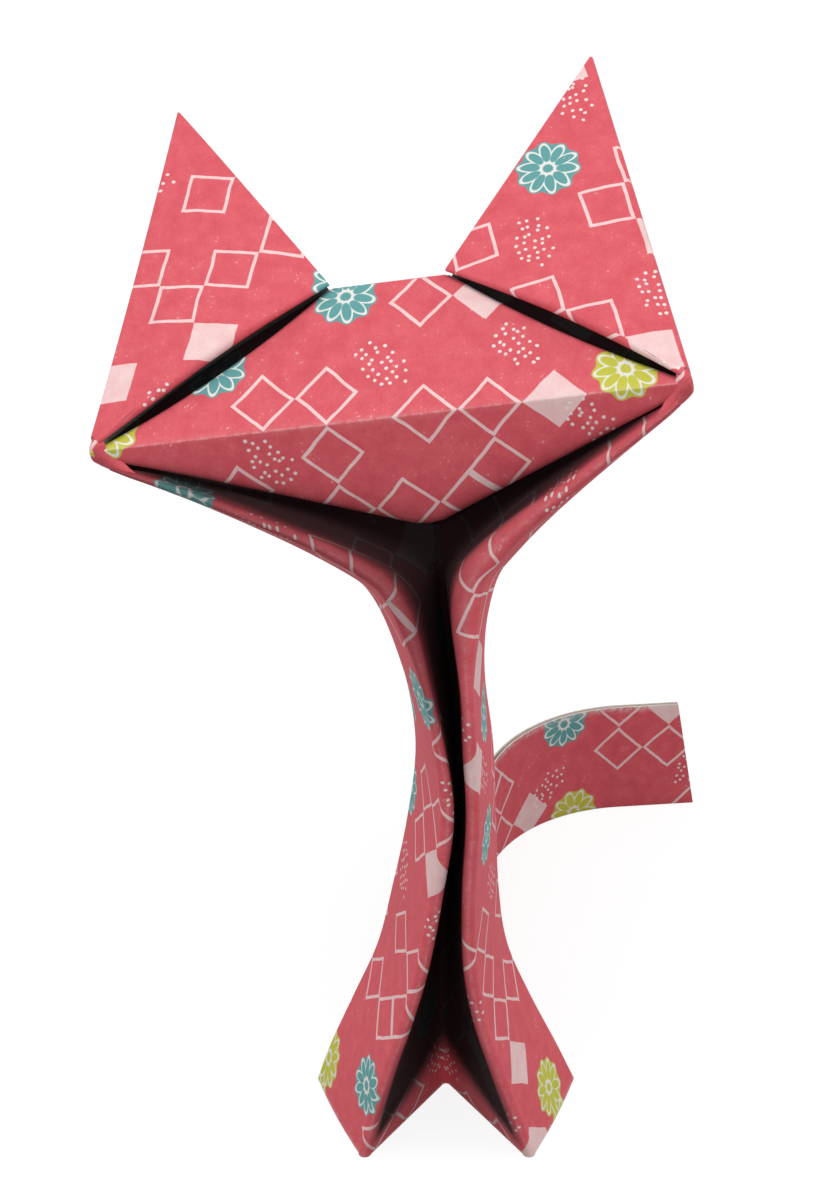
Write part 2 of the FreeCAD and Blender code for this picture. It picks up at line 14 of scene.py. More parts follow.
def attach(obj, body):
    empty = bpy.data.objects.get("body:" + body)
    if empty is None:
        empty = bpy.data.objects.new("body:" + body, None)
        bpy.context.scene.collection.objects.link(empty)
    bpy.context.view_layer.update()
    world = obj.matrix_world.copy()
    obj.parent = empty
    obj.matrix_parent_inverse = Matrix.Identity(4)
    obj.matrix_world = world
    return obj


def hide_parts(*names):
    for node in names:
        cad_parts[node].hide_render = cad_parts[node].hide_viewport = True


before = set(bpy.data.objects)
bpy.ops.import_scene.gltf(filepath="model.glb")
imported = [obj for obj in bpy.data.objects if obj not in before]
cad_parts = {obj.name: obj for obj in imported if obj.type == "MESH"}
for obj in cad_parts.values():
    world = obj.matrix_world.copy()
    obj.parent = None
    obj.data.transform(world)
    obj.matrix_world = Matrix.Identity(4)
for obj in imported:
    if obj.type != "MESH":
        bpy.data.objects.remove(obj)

Rows = np.ndarray
Point = tuple[float, float, float]
Pair = tuple[float, float]
Shares = tuple[float, ...]
Node, Socket, Tree = bpy.types.Node, bpy.types.NodeSocket, bpy.types.NodeTree

LOG = logging.getLogger("paper_cat")
MM = 0.001
FLAT_SCALE = 0.01
NODE = "folded_sheet"


class Side(Enum):
    """Left or right half of the cat, seen from in front."""

    LEFT = -1.0
    RIGHT = 1.0


# ------------------------------------------------------------------ helpers on rows of points
def unit(vectors: Rows) -> Rows:
    """Vectors of length one, along the last axis of any array."""
    length = np.linalg.norm(vectors, axis=-1, keepdims=True)
    return vectors / np.maximum(length, 1e-12)


def mix(first: Rows, second: Rows, share: float) -> Rows:
    """Value at a share of the way from first to second."""
    return first + (second - first) * share


def arch(share: float) -> float:
    """Even arch that is 0 at both ends of a run and 1 at its middle."""
    return math.sin(share * math.pi)


def ease(low: float, high: float, value: Rows) -> Rows:
    """Smooth step of a value, from 0 at low to 1 at high."""
    part = np.clip((np.asarray(value, dtype=float) - low) / (high - low), 0.0, 1.0)
    return part * part * (3.0 - 2.0 * part)


def through(stations: Rows, steps: int) -> Rows:
    """Smooth rows that pass through stations.

    Args:
        stations: Values at each station, the stations on the first axis.
        steps: Rows made in each span.

    Returns:
        The rows, with the last station as the last one.
    """
    head = 2.0 * stations[0] - stations[1]
    tail = 2.0 * stations[-1] - stations[-2]
    padded = np.concatenate([head[None], stations, tail[None]])
    rows = []
    for span in range(len(stations) - 1):
        a, b, c, d = padded[span:span + 4]
        for step in range(steps):
            t = step / steps
            rows.append(0.5 * (2 * b + (c - a) * t + (2 * a - 5 * b + 4 * c - d) * t * t
                               + (3 * b - a - 3 * c + d) * t ** 3))
    rows.append(stations[-1])
    return np.array(rows)


def running_length(points: Rows) -> Rows:
    """Length along each row of points.

    Args:
        points: Rows of points.

    Returns:
        The length from the row's first point to each of its points.
    """
    steps = np.linalg.norm(np.diff(points, axis=-2), axis=-1)
    start = np.zeros(steps.shape[:-1] + (1,))
    return np.concatenate([start, np.cumsum(steps, axis=-1)], axis=-1)


# ------------------------------------------------------------------ the sheet as closed skins
@dataclass
class Skin:
    """One run of the sheet as a grid of points on its middle.

    Args:
        points: Rows by columns of places in millimetres.
        flat: Rows by columns of places on the flat sheet, in millimetres.
        wear: Rows by columns of how worn the print is, 0 to 1.
        printed: 1 where the print is on the side that columns cross rows point to, else -1.
        shade: Rows by columns of shade painted on the printed side where it lies deep in a fold, 0 to 1.
        bare_shade: The same painted shade for the bare side.
    """

    points: Rows
    flat: Rows
    wear: Rows
    printed: float = 1.0
    shade: Rows | None = None
    bare_shade: Rows | None = None

    def painted_shading(self) -> list[Rows]:
        """Shade painted into the folds of the printed and the bare side, zero where none is given."""
        plain = np.zeros(self.points.shape[:2])
        return [(plain if side is None else side).reshape(-1) for side in (self.shade, self.bare_shade)]

    def normals(self) -> Rows:
        """Directions square to the sheet, towards the printed side."""
        down = np.gradient(self.points, axis=0)
        across = np.gradient(self.points, axis=1)
        return unit(np.cross(across, down)) * self.printed

    def faces(self) -> tuple[list[tuple[int, ...]], list[int]]:
        """Faces of the closed skin.

        Returns:
            The faces, and the material number of each: 0 printed, 1 bare.
        """
        rows, columns = self.points.shape[:2]
        count = rows * columns
        turn = 1 if self.printed > 0 else -1
        quads = []
        marks = []
        for row in range(rows - 1):
            for a in range(row * columns, (row + 1) * columns - 1):
                ring = (a, a + 1, a + 1 + columns, a + columns)[::turn]
                quads += [ring, tuple(n + count for n in ring[::-1])]
                marks += [0, 1]
        edge = list(range(columns))
        edge += [row * columns + columns - 1 for row in range(1, rows)]
        edge += [(rows - 1) * columns + column for column in range(columns - 2, -1, -1)]
        edge += [row * columns for row in range(rows - 2, 0, -1)]
        for first, second in zip(edge, edge[1:] + edge[:1]):
            quads.append((second, first, first + count, second + count)[::turn])
            marks.append(1)
        return quads, marks


@dataclass(frozen=True)
class Finishes:
    """The two faces of the paper."""

    printed: bpy.types.Material
    bare: bpy.types.Material


def make_piece(name: str, skins: list[Skin], finishes: Finishes, thickness: float) -> None:
    """Makes the closed mesh of one or more skins and ties it to the model.

    Its flat places are its UVs, and its wear and the shade painted into its folds are attributes.

    Args:
        name: Name of the piece.
        skins: The runs of sheet that it holds.
        finishes: Materials of the printed and the bare face.
        thickness: Thickness of the paper in millimetres.
    """
    verts: list[Rows] = []
    faces: list[tuple[int, ...]] = []
    marks: list[int] = []
    flats: list[Rows] = []
    wears: list[Rows] = []
    shades: list[Rows] = []
    for skin in skins:
        start = sum(len(part) for part in verts)
        offset = skin.normals() * (thickness / 2.0)
        for sign in (1.0, -1.0):
            verts.append((skin.points + offset * sign).reshape(-1, 3))
            flats.append(skin.flat.reshape(-1, 2))
            wears.append(skin.wear.reshape(-1))
        # Shade painted on the printed and the bare side.
        shades += skin.painted_shading()
        rings, kinds = skin.faces()
        faces += [tuple(n + start for n in ring) for ring in rings]
        marks += kinds
    places = np.concatenate(verts) * MM
    places[:, 2] = np.maximum(places[:, 2], 0.0)
    flat = np.concatenate(flats) * FLAT_SCALE
    mesh = bpy.data.meshes.new(name)
    mesh.from_pydata(places.tolist(), [], faces)
    mesh.materials.append(finishes.printed)
    mesh.materials.append(finishes.bare)
    mesh.polygons.foreach_set("material_index", marks)
    mesh.polygons.foreach_set("use_smooth", [True] * len(faces))
    layer = mesh.uv_layers.new(name="flat_sheet")
    loops = np.empty(len(mesh.loops), dtype=np.int32)
    mesh.loops.foreach_get("vertex_index", loops)
    layer.data.foreach_set("uv", flat[loops].reshape(-1))
    # The second attribute holds the shade painted into the folds of both faces.
    for key, values in (("wear", wears), ("painted_fold_shade", shades)):
        mesh.attributes.new(key, "FLOAT", "POINT").data.foreach_set("value", np.concatenate(values))
    mark_cut_edges(mesh)
    mesh.validate()
    piece = bpy.data.objects.new(name, mesh)
    bpy.context.scene.collection.objects.link(piece)
    declare(piece)


def mark_cut_edges(mesh: bpy.types.Mesh) -> None:
    """Keeps the corners of the cut edges crisp, so that the thin rim doesn't bend the shading.

    Args:
        mesh: Mesh of a closed skin.
    """
    bent_alike = 0.6
    normals = [face.normal.copy() for face in mesh.polygons]
    touching: dict[tuple[int, int], list[int]] = {}
    for face in mesh.polygons:
        for key in face.edge_keys:
            touching.setdefault(key, []).append(face.index)
    flags = []
    for edge in mesh.edges:
        pair = touching.get(tuple(sorted(edge.vertices)), [])
        flags.append(len(pair) == 2 and normals[pair[0]].dot(normals[pair[1]]) < bent_alike)
    mesh.attributes.new("sharp_edge", "BOOLEAN", "EDGE").data.foreach_set("value", flags)


def declare(piece: bpy.types.Object) -> None:
    """Ties a finished piece to the model.

    Args:
        piece: The piece, at the origin.
    """
    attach(piece, "root")
    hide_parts(NODE)
    LOG.info("%s: %d faces", piece.name, len(piece.data.polygons))


# ------------------------------------------------------------------ sizes of the cat
@dataclass(frozen=True)
class HeadPose:
    """Place and tilt of the head, and the sizes of its chin.

    Args:
        middle: Middle of the brow, in millimetres.
        roll: Sideways tilt in degrees.
        yaw: Turn in degrees.
        lean: Lean of the face back from upright, in degrees.
        half: Half of the head's width.
        corner_pull: How far the left corner is drawn out further.
        chin_shift: Sideways place of the chin point.
        chin_drop: From the brow down to the chin point.
        chin_set: Depth of the throat behind the chin point.
        throat_drop: How far the throat's roof falls towards its back.
    """

    middle: Point = (-10.0, -6.1, 148.3)
    roll: float = 9.9
    yaw: float = 5.2
    lean: float = 55.2
    half: float = 50.8
    corner_pull: float = 2.2
    chin_shift: float = 2.9
    chin_drop: float = 21.7
    chin_set: float = 8.0
    throat_drop: float = 3.5

    def place(self, points: Rows) -> Rows:
        """Points of the head's own frame, placed in the cat's frame.

        Args:
            points: Array of points, sideways, back and up.

        Returns:
            The same points in the cat's frame.
        """
        yaw = Matrix.Rotation(-math.radians(self.yaw), 3, "Z")
        roll = Matrix.Rotation(-math.radians(self.roll), 3, "Y")
        drawn = np.array(points, dtype=float)
        drawn[..., 0] -= self.corner_pull * np.clip(-drawn[..., 0] / self.half, 0.0, None) ** 6
        return drawn @ np.array(yaw @ roll).T + np.array(self.middle)

    def axes(self) -> tuple[Rows, Rows]:
        """Directions up the face's leaning plane and off it."""
        back, up = math.sin(math.radians(self.lean)), math.cos(math.radians(self.lean))
        return np.array([0.0, back, up]), np.array([0.0, -up, back])

    def leaning(self, sideways: Rows, upward: Rows, out: Rows) -> Rows:
        """Points of the face's leaning plane.

        Args:
            sideways: Distance to the cat's left or right.
            upward: Distance up the face.
            out: Distance off the face.

        Returns:
            Points in the head's own frame.
        """
        up, off = self.axes()
        sideways, upward, out = np.broadcast_arrays(sideways, upward, out)
        local = upward[..., None] * up + out[..., None] * off
        local[..., 0] += sideways
        return local

    def on_face(self, sideways: Rows, upward: Rows, out: Rows) -> Rows:
        """The same points, placed in the cat's frame."""
        return self.place(self.leaning(sideways, upward, out))


@dataclass(frozen=True)
class EarPlan:
    """Layout of an ear on the plane of the face.

    Args:
        leg: Length of its lower and inner edges.
        rise: Angle between its lower edge and the brow, in degrees.
        head_half: Half of the head's width.
    """

    leg: float = 49.1
    rise: float = 33.65
    head_half: float = HeadPose.half

    def base(self) -> Rows:
        """Corner where the ear meets the top of the face."""
        turn = math.radians(self.rise)
        return np.array([self.head_half - self.leg * math.cos(turn), self.leg * math.sin(turn)])

    def tip(self) -> Rows:
        """Point of the ear."""
        turn = math.radians(self.rise)
        return np.array([self.head_half - self.leg * (math.cos(turn) - math.sin(turn)),
                         self.leg * (math.cos(turn) + math.sin(turn))])

    def corner(self) -> Rows:
        """Corner of the head."""
        return np.array([self.head_half, 0.0])

    def inward(self) -> Rows:
        """Direction down the ear's inner edge, from its tip to its base."""
        return -np.array([math.sin(math.radians(self.rise)), math.cos(math.radians(self.rise))])


@dataclass(frozen=True)
class Level:
    """One level of the pleated legs: height, half width at the rear edges, half width of the slit."""

    height: float
    rear: float
    slit: float


LEVELS = (
    Level(0.0, 25.2, 14.4),
    Level(9.0, 21.9, 12.2),
    Level(21.0, 16.9, 8.8),
    Level(33.0, 12.4, 5.4),
    Level(46.0, 10.1, 2.9),
    Level(62.0, 8.3, 1.5),
    Level(78.0, 7.2, 0.9),
    Level(93.0, 7.3, 1.3),
    Level(105.0, 9.2, 2.2),
)
HIP, WAIST, CHEST, NECK, COLLAR = (level.height for level in LEVELS[4:])


# ------------------------------------------------------------------ legs, neck and throat
@dataclass
class PleatedLegs:
    """The pleated run of the sheet: legs, neck, and the throat that opens out under the chin."""

    pose: HeadPose
    finishes: Finishes
    thickness: float
    wall: float = 0.4
    panel: float = 25.4
    fold_roll: float = 1.1
    lip_rolls: Shares = (2.3, 2.3, 2.0, 1.5, 1.1, 0.85, 0.65, 0.5, 0.45)
    left_lip: float = 0.6
    bend_spread: float = 7.0
    bend_pull: float = 0.8
    bend_passes: int = 60
    ridge_half: float = 0.6
    foot_depth: float = 22.0
    body_depth: float = 24.0
    rear_set: float = 1.4
    rear_twist: float = 2.0
    sway: float = 1.9
    knee_sway: float = 1.6
    lip_half: float = 5.6
    lip_low: float = 2.0
    lip_front: float = 20.5
    lip_sag: float = 4.2
    lip_end: Point = (2.4, -0.6, -3.4)
    rear_end: Point = (2.8, 2.4, -4.6)
    shoulder: Point = (10.0, 6.0, -12.5)
    shoulder_shift: float = 2.0
    left_shoulder: Point = (-1.2, 0.0, 1.3)
    lip_tuck: float = 0.2
    left_swell: float = 0.5
    rear_swell: float = 1.1
    panel_bow: float = 0.45
    lip_turn: float = 30.0
    lip_turned: float = 126.0
    crest_wear: Shares = (0.15, 0.35, 0.15)
    hem_wear: float = 0.6
    # Where the throat begins, and how the shade painted into the fold starts, runs, steepens and fades
    # towards the table.
    throat_levels: tuple[Pair, ...] = ((100.0, 122.0), (88.0, 112.0))
    dark_from: float = 0.2
    throat_dark_from: Pair = (-1.2, -4.0)
    dark_run: Pair = (3.0, 13.0)
    dark_power: Pair = (1.4, 2.2)
    hem_light: Pair = (2.6, 8.5)
    hem_fade: Pair = (0.35, 1.2)
    steps: int = 7
    shares: Shares = (0.0, 0.07, 0.16, 0.3, 0.5, 0.7, 0.86, 0.95, 1.0)

    def middle(self, height: float) -> float:
        """Middle of the pleat.

        Args:
            height: Height above the table.

        Returns:
            Sideways place of the middle at that height.
        """
        low = self.pose.place(np.array([self.pose.chin_shift, 0.0, -self.pose.chin_drop]))
        if height <= CHEST:
            turn = height / CHEST * math.pi
            return self.sway * math.sin(turn / 2) ** 2 - self.knee_sway * math.sin(turn)
        share = (height - CHEST) / (low[2] - CHEST)
        return self.sway + (low[0] - self.sway) * share ** 1.3

    def leg_stations(self) -> list[tuple[Rows, ...]]:
        """Stations of the legs.

        Returns:
            Ridge, both crests, both rear edges and the fold's radius at each level.
        """
        rows = []
        for level in LEVELS:
            depth = mix(self.foot_depth, self.body_depth, min(1.0, level.height / HIP))
            middle = self.middle(level.height)
            crest = level.slit + self.wall / 2 + self.fold_roll
            rear = level.rear - self.wall / 2
            behind = middle - self.rear_twist * max(0.0, level.height - WAIST) / (COLLAR - WAIST)
            rows.append((
                np.array([middle, 0.0, level.height]),
                *(np.array([middle + side * crest, -depth, level.height]) for side in (-1.0, 1.0)),
                *(np.array([behind + side * rear, self.rear_set, level.height]) for side in (-1.0, 1.0)),
                np.array([self.fold_roll, 0.0, 0.0]),
            ))
        return rows

    def throat_stations(self) -> list[tuple[Rows, ...]]:
        """Stations above the collar, where the folds part and run out to the head's corners.

        Returns:
            The same six rows as for the legs, at each share of the lips.
        """
        rows = []
        pose = self.pose
        lip_low = -pose.chin_drop - self.lip_low
        top = pose.place(np.array([pose.chin_shift, pose.chin_set, -pose.chin_drop - pose.throat_drop]))
        low = mix(np.array([self.middle(COLLAR), 0.0, COLLAR]), top, 0.5)
        for share, roll in zip(self.shares, self.lip_rolls):
            lift = np.array([0.0, 0.0, self.lip_tuck if share == 1.0 else 0.0])
            sag = max(0.0, 1.0 - share / 0.3) ** 2
            swell = arch(share)
            crests = []
            rears = []
            for side in (-1.0, 1.0):
                left = side < 0
                lip = np.array([pose.chin_shift + side * self.lip_half + left,
                                -self.lip_front - pose.middle[1], lip_low])
                shoulder = np.array([pose.chin_shift - self.shoulder_shift + side * self.shoulder[0],
                                     self.shoulder[1], lip_low + self.shoulder[2]])
                shoulder += np.array(self.left_shoulder) * left
                lip_end, rear_end = (np.array([side * (pose.half - inset), back, up])
                                     for inset, back, up in (self.lip_end, self.rear_end))
                crest = mix(lip, lip_end, share) + np.array([-side, 0.0, -self.lip_sag]) * sag
                crest[2] += self.left_swell * swell * left
                rear = mix(shoulder, rear_end, share)
                rear[2] += (self.rear_swell + side * 0.2) * swell
                crests.append(pose.place(crest + lift))
                rears.append(pose.place(rear + lift))
            rows.append((mix(low, top, share) + lift, *crests, *rears, np.array([roll, 0.0, 0.0])))
        return rows

    def rounded(self, rows: Rows) -> Rows:
        """Rounds the bend where the folds leave the neck for the lips.

        Args:
            rows: Rows of the pleat, from the table up.

        Returns:
            The same rows, with an easier bend.
        """
        bend = len(LEVELS) * self.steps
        weight = np.exp(-((np.arange(len(rows)) - bend) / self.bend_spread) ** 2)[1:-1, None, None]
        for _ in range(self.bend_passes):
            between = (rows[:-2, 1:5] + rows[2:, 1:5]) / 2
            rows[1:-1, 1:5] += weight * self.bend_pull * (between - rows[1:-1, 1:5])
        return rows

    def half(self, ridge: Rows, crest: Rows, rear: Rows, radius: Rows,
             side: float) -> tuple[Rows, Rows, Rows, Rows]:
        """One side of the pleat.

        Args:
            ridge: Rear ridge at every row.
            crest: Front of the soft fold at every row.
            rear: Raw rear edge at every row.
            radius: Radius of the soft fold at every row.
            side: -1 for the left, 1 for the right.

        Returns:
            Points from beside the ridge to the raw edge, their places on the flat sheet, their wear, and the
            shade painted on them deep in the fold.
        """
        inner = np.linspace(0.0, 0.93, 9)
        outer = np.append(np.linspace(0.08, 0.96, 9), (0.99, 1.0))
        turns = np.radians(np.linspace(-90.0, 90.0, 11))
        run = unit(np.gradient(crest, axis=0))
        run[0] = (0.0, 0.0, 1.0)
        ways = (rear - crest, ridge - crest)
        out_flat, in_flat = (unit(way - run * np.sum(way * run, -1, keepdims=True)) for way in ways)
        nose = unit(-(out_flat + in_flat))
        across = out_flat - in_flat
        across = unit(across - nose * np.sum(across * nose, -1, keepdims=True))
        size = radius[:, None]
        centre = crest - nose * size
        fold = [centre + across * size * math.sin(turn) + nose * size * math.cos(turn) for turn in turns]
        inner_start = ridge + unit(fold[0] - ridge) * self.ridge_half * 0.7
        inner_start[:, 0] += side * self.ridge_half * 0.75
        bow = unit(np.cross(run, rear - fold[-1])) * side
        bow[0] = bow[1]
        columns = [mix(inner_start, fold[0], share) for share in inner] + fold
        columns += [mix(fold[-1], rear, share) - bow * (self.panel_bow * arch(share)) for share in outer]
        points = np.stack(columns, axis=1)
        crest_column = len(inner) + len(turns) // 2
        reach = running_length(points)
        reach = reach - reach[:, crest_column:crest_column + 1]
        wear = np.zeros(points.shape[:2])
        wear[:, crest_column - 1:crest_column + 2] = self.crest_wear
        wear[:, -1] = 1.0
        wear[0, :] = np.maximum(wear[0, :], self.hem_wear)
        # Shade painted into the fold.
        depth = self.painted_fold_shade(points[..., 2], crest[:, 2], reach, side < 0)
        return points, self.on_sheet(ways, run, crest, reach, side), wear, depth

    def on_sheet(self, ways: tuple[Rows, Rows], run: Rows, crest: Rows, reach: Rows, side: float) -> Rows:
        """Places of one side of the pleat on the flat sheet.

        Args:
            ways: From the crest to the rear edge and to the ridge, at every row.
            run: Direction of the soft fold at every row.
            crest: Front of the soft fold at every row.
            reach: Distance of every point from the crest, below 0 towards the ridge.
            side: -1 for the left, 1 for the right.

        Returns:
            The places, in millimetres.
        """
        heading = math.radians(self.lip_turn) * ease(NECK, self.lip_turned, crest[:, 2])
        steps = np.append(0.0, np.linalg.norm(np.diff(crest, axis=0), axis=-1))
        along = np.stack([side * np.sin(heading), np.cos(heading)], axis=-1)
        outward = np.stack([side * np.cos(heading), -np.sin(heading)], axis=-1)
        line = np.cumsum(along * steps[:, None], axis=0) + np.array([side * self.panel, 0.0])
        flats = []
        for way, sign in zip(ways, (1.0, -1.0)):
            lean = np.sum(unit(way) * run, -1)[:, None]
            on_sheet = along * lean + sign * outward * np.sqrt(1 - lean ** 2)
            flats.append(line[:, None] + sign * on_sheet[:, None] * reach[..., None])
        return np.where(reach[..., None] < 0, flats[1], flats[0])

    def painted_fold_shade(self, height: Rows, crest_height: Rows, reach: Rows, left: bool) -> Rows:
        """Shade painted into the fold of one side of the pleat, darkest in the slit and in the throat.

        Args:
            height: Height of every point.
            crest_height: Height of the soft fold at every row.
            reach: Distance of every point from the crest, below 0 towards the ridge.
            left: Whether it is the left side, whose lip is rolled tighter.

        Returns:
            Painted shade, 0 to 1, fading out towards the table.
        """
        throat = ease(*self.throat_levels[left], crest_height)[:, None]
        behind = -reach - mix(self.dark_from, self.throat_dark_from[left], throat)
        keen = np.clip(behind / mix(*self.dark_run, throat), 0.0, 1.0)
        hem = self.hem_light[0] + self.hem_light[1] * np.clip(-reach / (self.panel - 2.0), 0.0, 1.0)
        return (1.0 - (1.0 - keen) ** mix(*self.dark_power, throat)) * ease(*self.hem_fade, height / hem)

    def build(self) -> None:
        """Makes the pleated run."""
        rows = self.rounded(through(np.array(self.leg_stations() + self.throat_stations()), self.steps))
        ridge = rows[:, 0]
        radius = rows[:, 5, 0]
        slim = mix(1.0, self.left_lip, ease(CHEST, COLLAR, rows[:, 1, 2]))
        left = self.half(ridge, rows[:, 1], rows[:, 3], radius * slim, -1.0)
        right = self.half(ridge, rows[:, 2], rows[:, 4], radius, 1.0)
        flat_middle = (left[1][:, :1] + right[1][:, :1]) / 2
        # The last of each set is the shade painted into the fold.
        middles = (ridge[:, None], flat_middle, np.zeros((len(rows), 1)), left[3][:, :1])
        points, flat, wear, shade = (np.concatenate([one[:, ::-1], between, other], axis=1)
                                     for one, between, other in zip(left, middles, right))
        make_piece("pleated_legs", [Skin(points, flat, wear, shade=shade)], self.finishes, self.thickness)


# ------------------------------------------------------------------ head
@dataclass
class Head:
    """Chin, face and the back of the head."""

    pose: HeadPose
    plan: EarPlan
    finishes: Finishes
    thickness: float
    gap: float = 3.4
    tip_gap: float = 0.25
    edge_in: float = 1.3
    edge_bend: float = 2.2
    edge_pull: float = 0.25
    fall_least: float = 0.15
    fall_more: float = 0.95
    hollow: float = 0.25
    bend_soft: float = 0.0009
    back_inset: float = 0.6
    back_low: float = 0.4
    back_trim: float = 0.9
    back_flat: Pair = (18.0, 64.0)
    top_wear: float = 0.3
    edge_slack: float = 5.0
    # Shade painted on the face towards its edges under the ears, and over how far it fades.
    edge_shade: float = 0.55
    edge_shade_run: float = 1.5
    bed_lift: float = 0.35
    bed_clear: float = 0.05
    bed_spread: float = 0.25
    bed_taper: float = 0.2
    bed_inset: float = 1.3
    columns: int = 61
    face_shares: Shares = (0.012, 0.06, 0.13, 0.21, 0.3, 0.4, 0.5, 0.6, 0.7, 0.79, 0.87, 0.94, 0.98)
    top_turns: Shares = (0.0, 20.0, 45.0, 70.0, 90.0, 115.0, 140.0, 165.0, 180.0)
    # Shade painted on the rows of the throat's roof and the rolled chin edge.
    throat_shade: Shares = (1.0, 1.0, 1.0, 1.0, 0.9, 0.6, 0.36, 0.22, 0.13, 0.05)
    # Gutter steps: outward, share of the fall to the back layer, and shade painted on it.
    gutter_steps: tuple[Point, ...] = (
        (0.0, 0.0, 0.55), (0.35, 0.3, 0.85), (0.8, 0.62, 1.0), (1.5, 0.88, 1.0), (2.8, 1.0, 1.0),
        (6.5, 1.0, 1.0))

    def bent(self, middle: Point, end: Point,
             across: Rows) -> Rows:
        """Row of the head that runs from corner to corner through a middle point.

        Args:
            middle: The middle point, in the head's frame.
            end: Where the row ends, measured from the head's corner, outward, back and up.
            across: Places along the row, -1 to 1.

        Returns:
            Points in the head's frame.
        """
        ends = np.tile(np.array(end), (len(across), 1))
        ends[:, 0] = np.sign(across) * (self.pose.half + end[0])
        share = np.abs(across)[:, None]
        soft = np.sqrt(share ** 2 + self.bend_soft) / math.sqrt(1.0 + self.bend_soft)
        return np.array(middle) * (1.0 - soft) + ends * soft

    def edge_at(self, share: float) -> float:
        """Sideways place of the face's edge under an ear, at a share of the height from brow to top."""
        return self.pose.half + (self.plan.base()[0] - self.pose.half) * share - self.edge_in * arch(share)

    def edge_fall(self, bow: float) -> float:
        """How far the face's edge has bent down where it goes under an ear."""
        return self.fall_least + self.fall_more * bow

    def back_out(self, height: Rows) -> Rows:
        """How far the back of the head lies behind the face's plane at a height up the face."""
        return -self.gap + (self.gap - self.tip_gap) * np.asarray(height) / self.plan.tip()[1]

    def gutter(self, side: Side) -> Skin:
        """Run of the sheet from the face's edge down to the back layer, under an ear.

        Args:
            side: Ear that it lies under.

        Returns:
            The run, printed on the side that shows, with shade painted on it.
        """
        outs, falls, shades = np.array(self.gutter_steps).T
        rows = []
        for share in np.append(self.face_shares[0], np.linspace(0.06, 0.98, 17)):
            bow = arch(share)
            height = self.plan.base()[1] * share
            start = self.edge_at(share) - self.edge_pull * bow
            top = -self.edge_fall(bow)
            bed = min(float(self.back_out(height)) + self.bed_lift, top - self.bed_clear)
            spread = mix(self.bed_spread, 1.0, bow)
            limit = self.pose.half - self.bed_taper * height - self.bed_inset
            sideways = np.minimum(start + outs * spread, np.maximum(limit, start + 0.02 * outs))
            heights = np.full(len(outs), height)
            rows.append(np.stack([side.value * sideways, heights, top + (bed - top) * falls], axis=-1))
        local = np.array(rows)
        points = self.pose.on_face(local[..., 0], local[..., 1], local[..., 2])
        flat = np.stack([local[:, :1, 0] + side.value * running_length(local), local[..., 1]], axis=-1)
        plain = np.zeros(local.shape[:2])
        return Skin(points, flat, plain, printed=side.value, shade=plain + shades)

    def chin_rows(self, across: Rows) -> list[Rows]:
        """Rows of the throat's roof, the rolled chin edge and the chin, up to the brow's crease.

        Args:
            across: Places along each row, -1 to 1.

        Returns:
            Rows of points in the head's frame.
        """
        x, drop, back = self.pose.chin_shift, self.pose.chin_drop, self.pose.chin_set
        fall = self.pose.throat_drop
        middles_and_ends = (
            ((x, back + 0.8, -drop - fall - 1.5), (-3.0, 2.6, -4.9)),
            ((x, back * 0.6, -drop - fall * 0.3), (-2.3, 2.0, -3.4)),
            ((x, 3.3, -drop + 0.3), (-1.7, 1.7, -2.5)),
            ((x, 2.4, -drop - 0.15), (-1.5, 1.3, -2.3)),
            ((x, 1.5, -drop - 0.3), (-1.3, 1.0, -2.15)),
            ((x, 0.7, -drop - 0.1), (-1.4, 0.7, -2.0)),
            ((x, 0.1, -drop + 0.45), (-1.0, 0.4, -1.7)),
            ((x, -0.25, -drop + 1.4), (-0.7, 0.15, -1.3)),
            ((x, -0.45, -drop + 2.8), (-0.5, 0.05, -1.0)),
            ((x * 0.9, -0.55, -drop * 0.72), (-0.3, 0.0, -0.75)),
            ((x * 0.6, -0.5, -drop * 0.5), (0.0, 0.0, -0.6)),
            ((x * 0.35, -0.35, -drop * 0.28), (0.0, 0.0, -0.4)),
            ((x * 0.1, -0.1, -drop * 0.08), (0.0, 0.0, -0.15)),
            ((0.0, -0.02, -0.28), (0.0, 0.0, -0.04)),
            ((0.0, 0.0, 0.0), (0.0, 0.0, 0.0)),
        )
        return [self.bent(middle, end, across) for middle, end in middles_and_ends]

    def face_rows(self, across: Rows) -> list[Rows]:
        """Rows of the face, whose edges bend down under the ears.

        Args:
            across: Places along each row, -1 to 1.

        Returns:
            Rows of points in the head's frame.
        """
        rows = []
        for share in self.face_shares:
            bow = arch(share)
            edge = self.edge_at(share)
            part = np.clip(1.0 - (1.0 - np.abs(across)) * edge / self.edge_bend, 0.0, None)
            sideways = edge * across - np.sign(across) * self.edge_pull * bow * part ** 3
            hollow = self.hollow * np.sin(math.pi * (across + 1) / 2) * bow
            out = hollow - self.edge_fall(bow) * part ** 2.2
            rows.append(self.pose.leaning(sideways, self.plan.base()[1] * share, out))
        return rows

    def top_rows(self, across: Rows) -> list[Rows]:
        """Rows of the face's top, turned over to the rear.

        Args:
            across: Places along each row, -1 to 1.

        Returns:
            Rows of points in the head's frame.
        """
        base = self.plan.base()
        radius = self.gap * (1.0 - base[1] / self.plan.tip()[1]) / 2.0
        rows = []
        for turn in np.radians(self.top_turns):
            height = base[1] - radius + radius * math.sin(turn)
            rows.append(self.pose.leaning(base[0] * across, height, radius * math.cos(turn) - radius))
        return rows

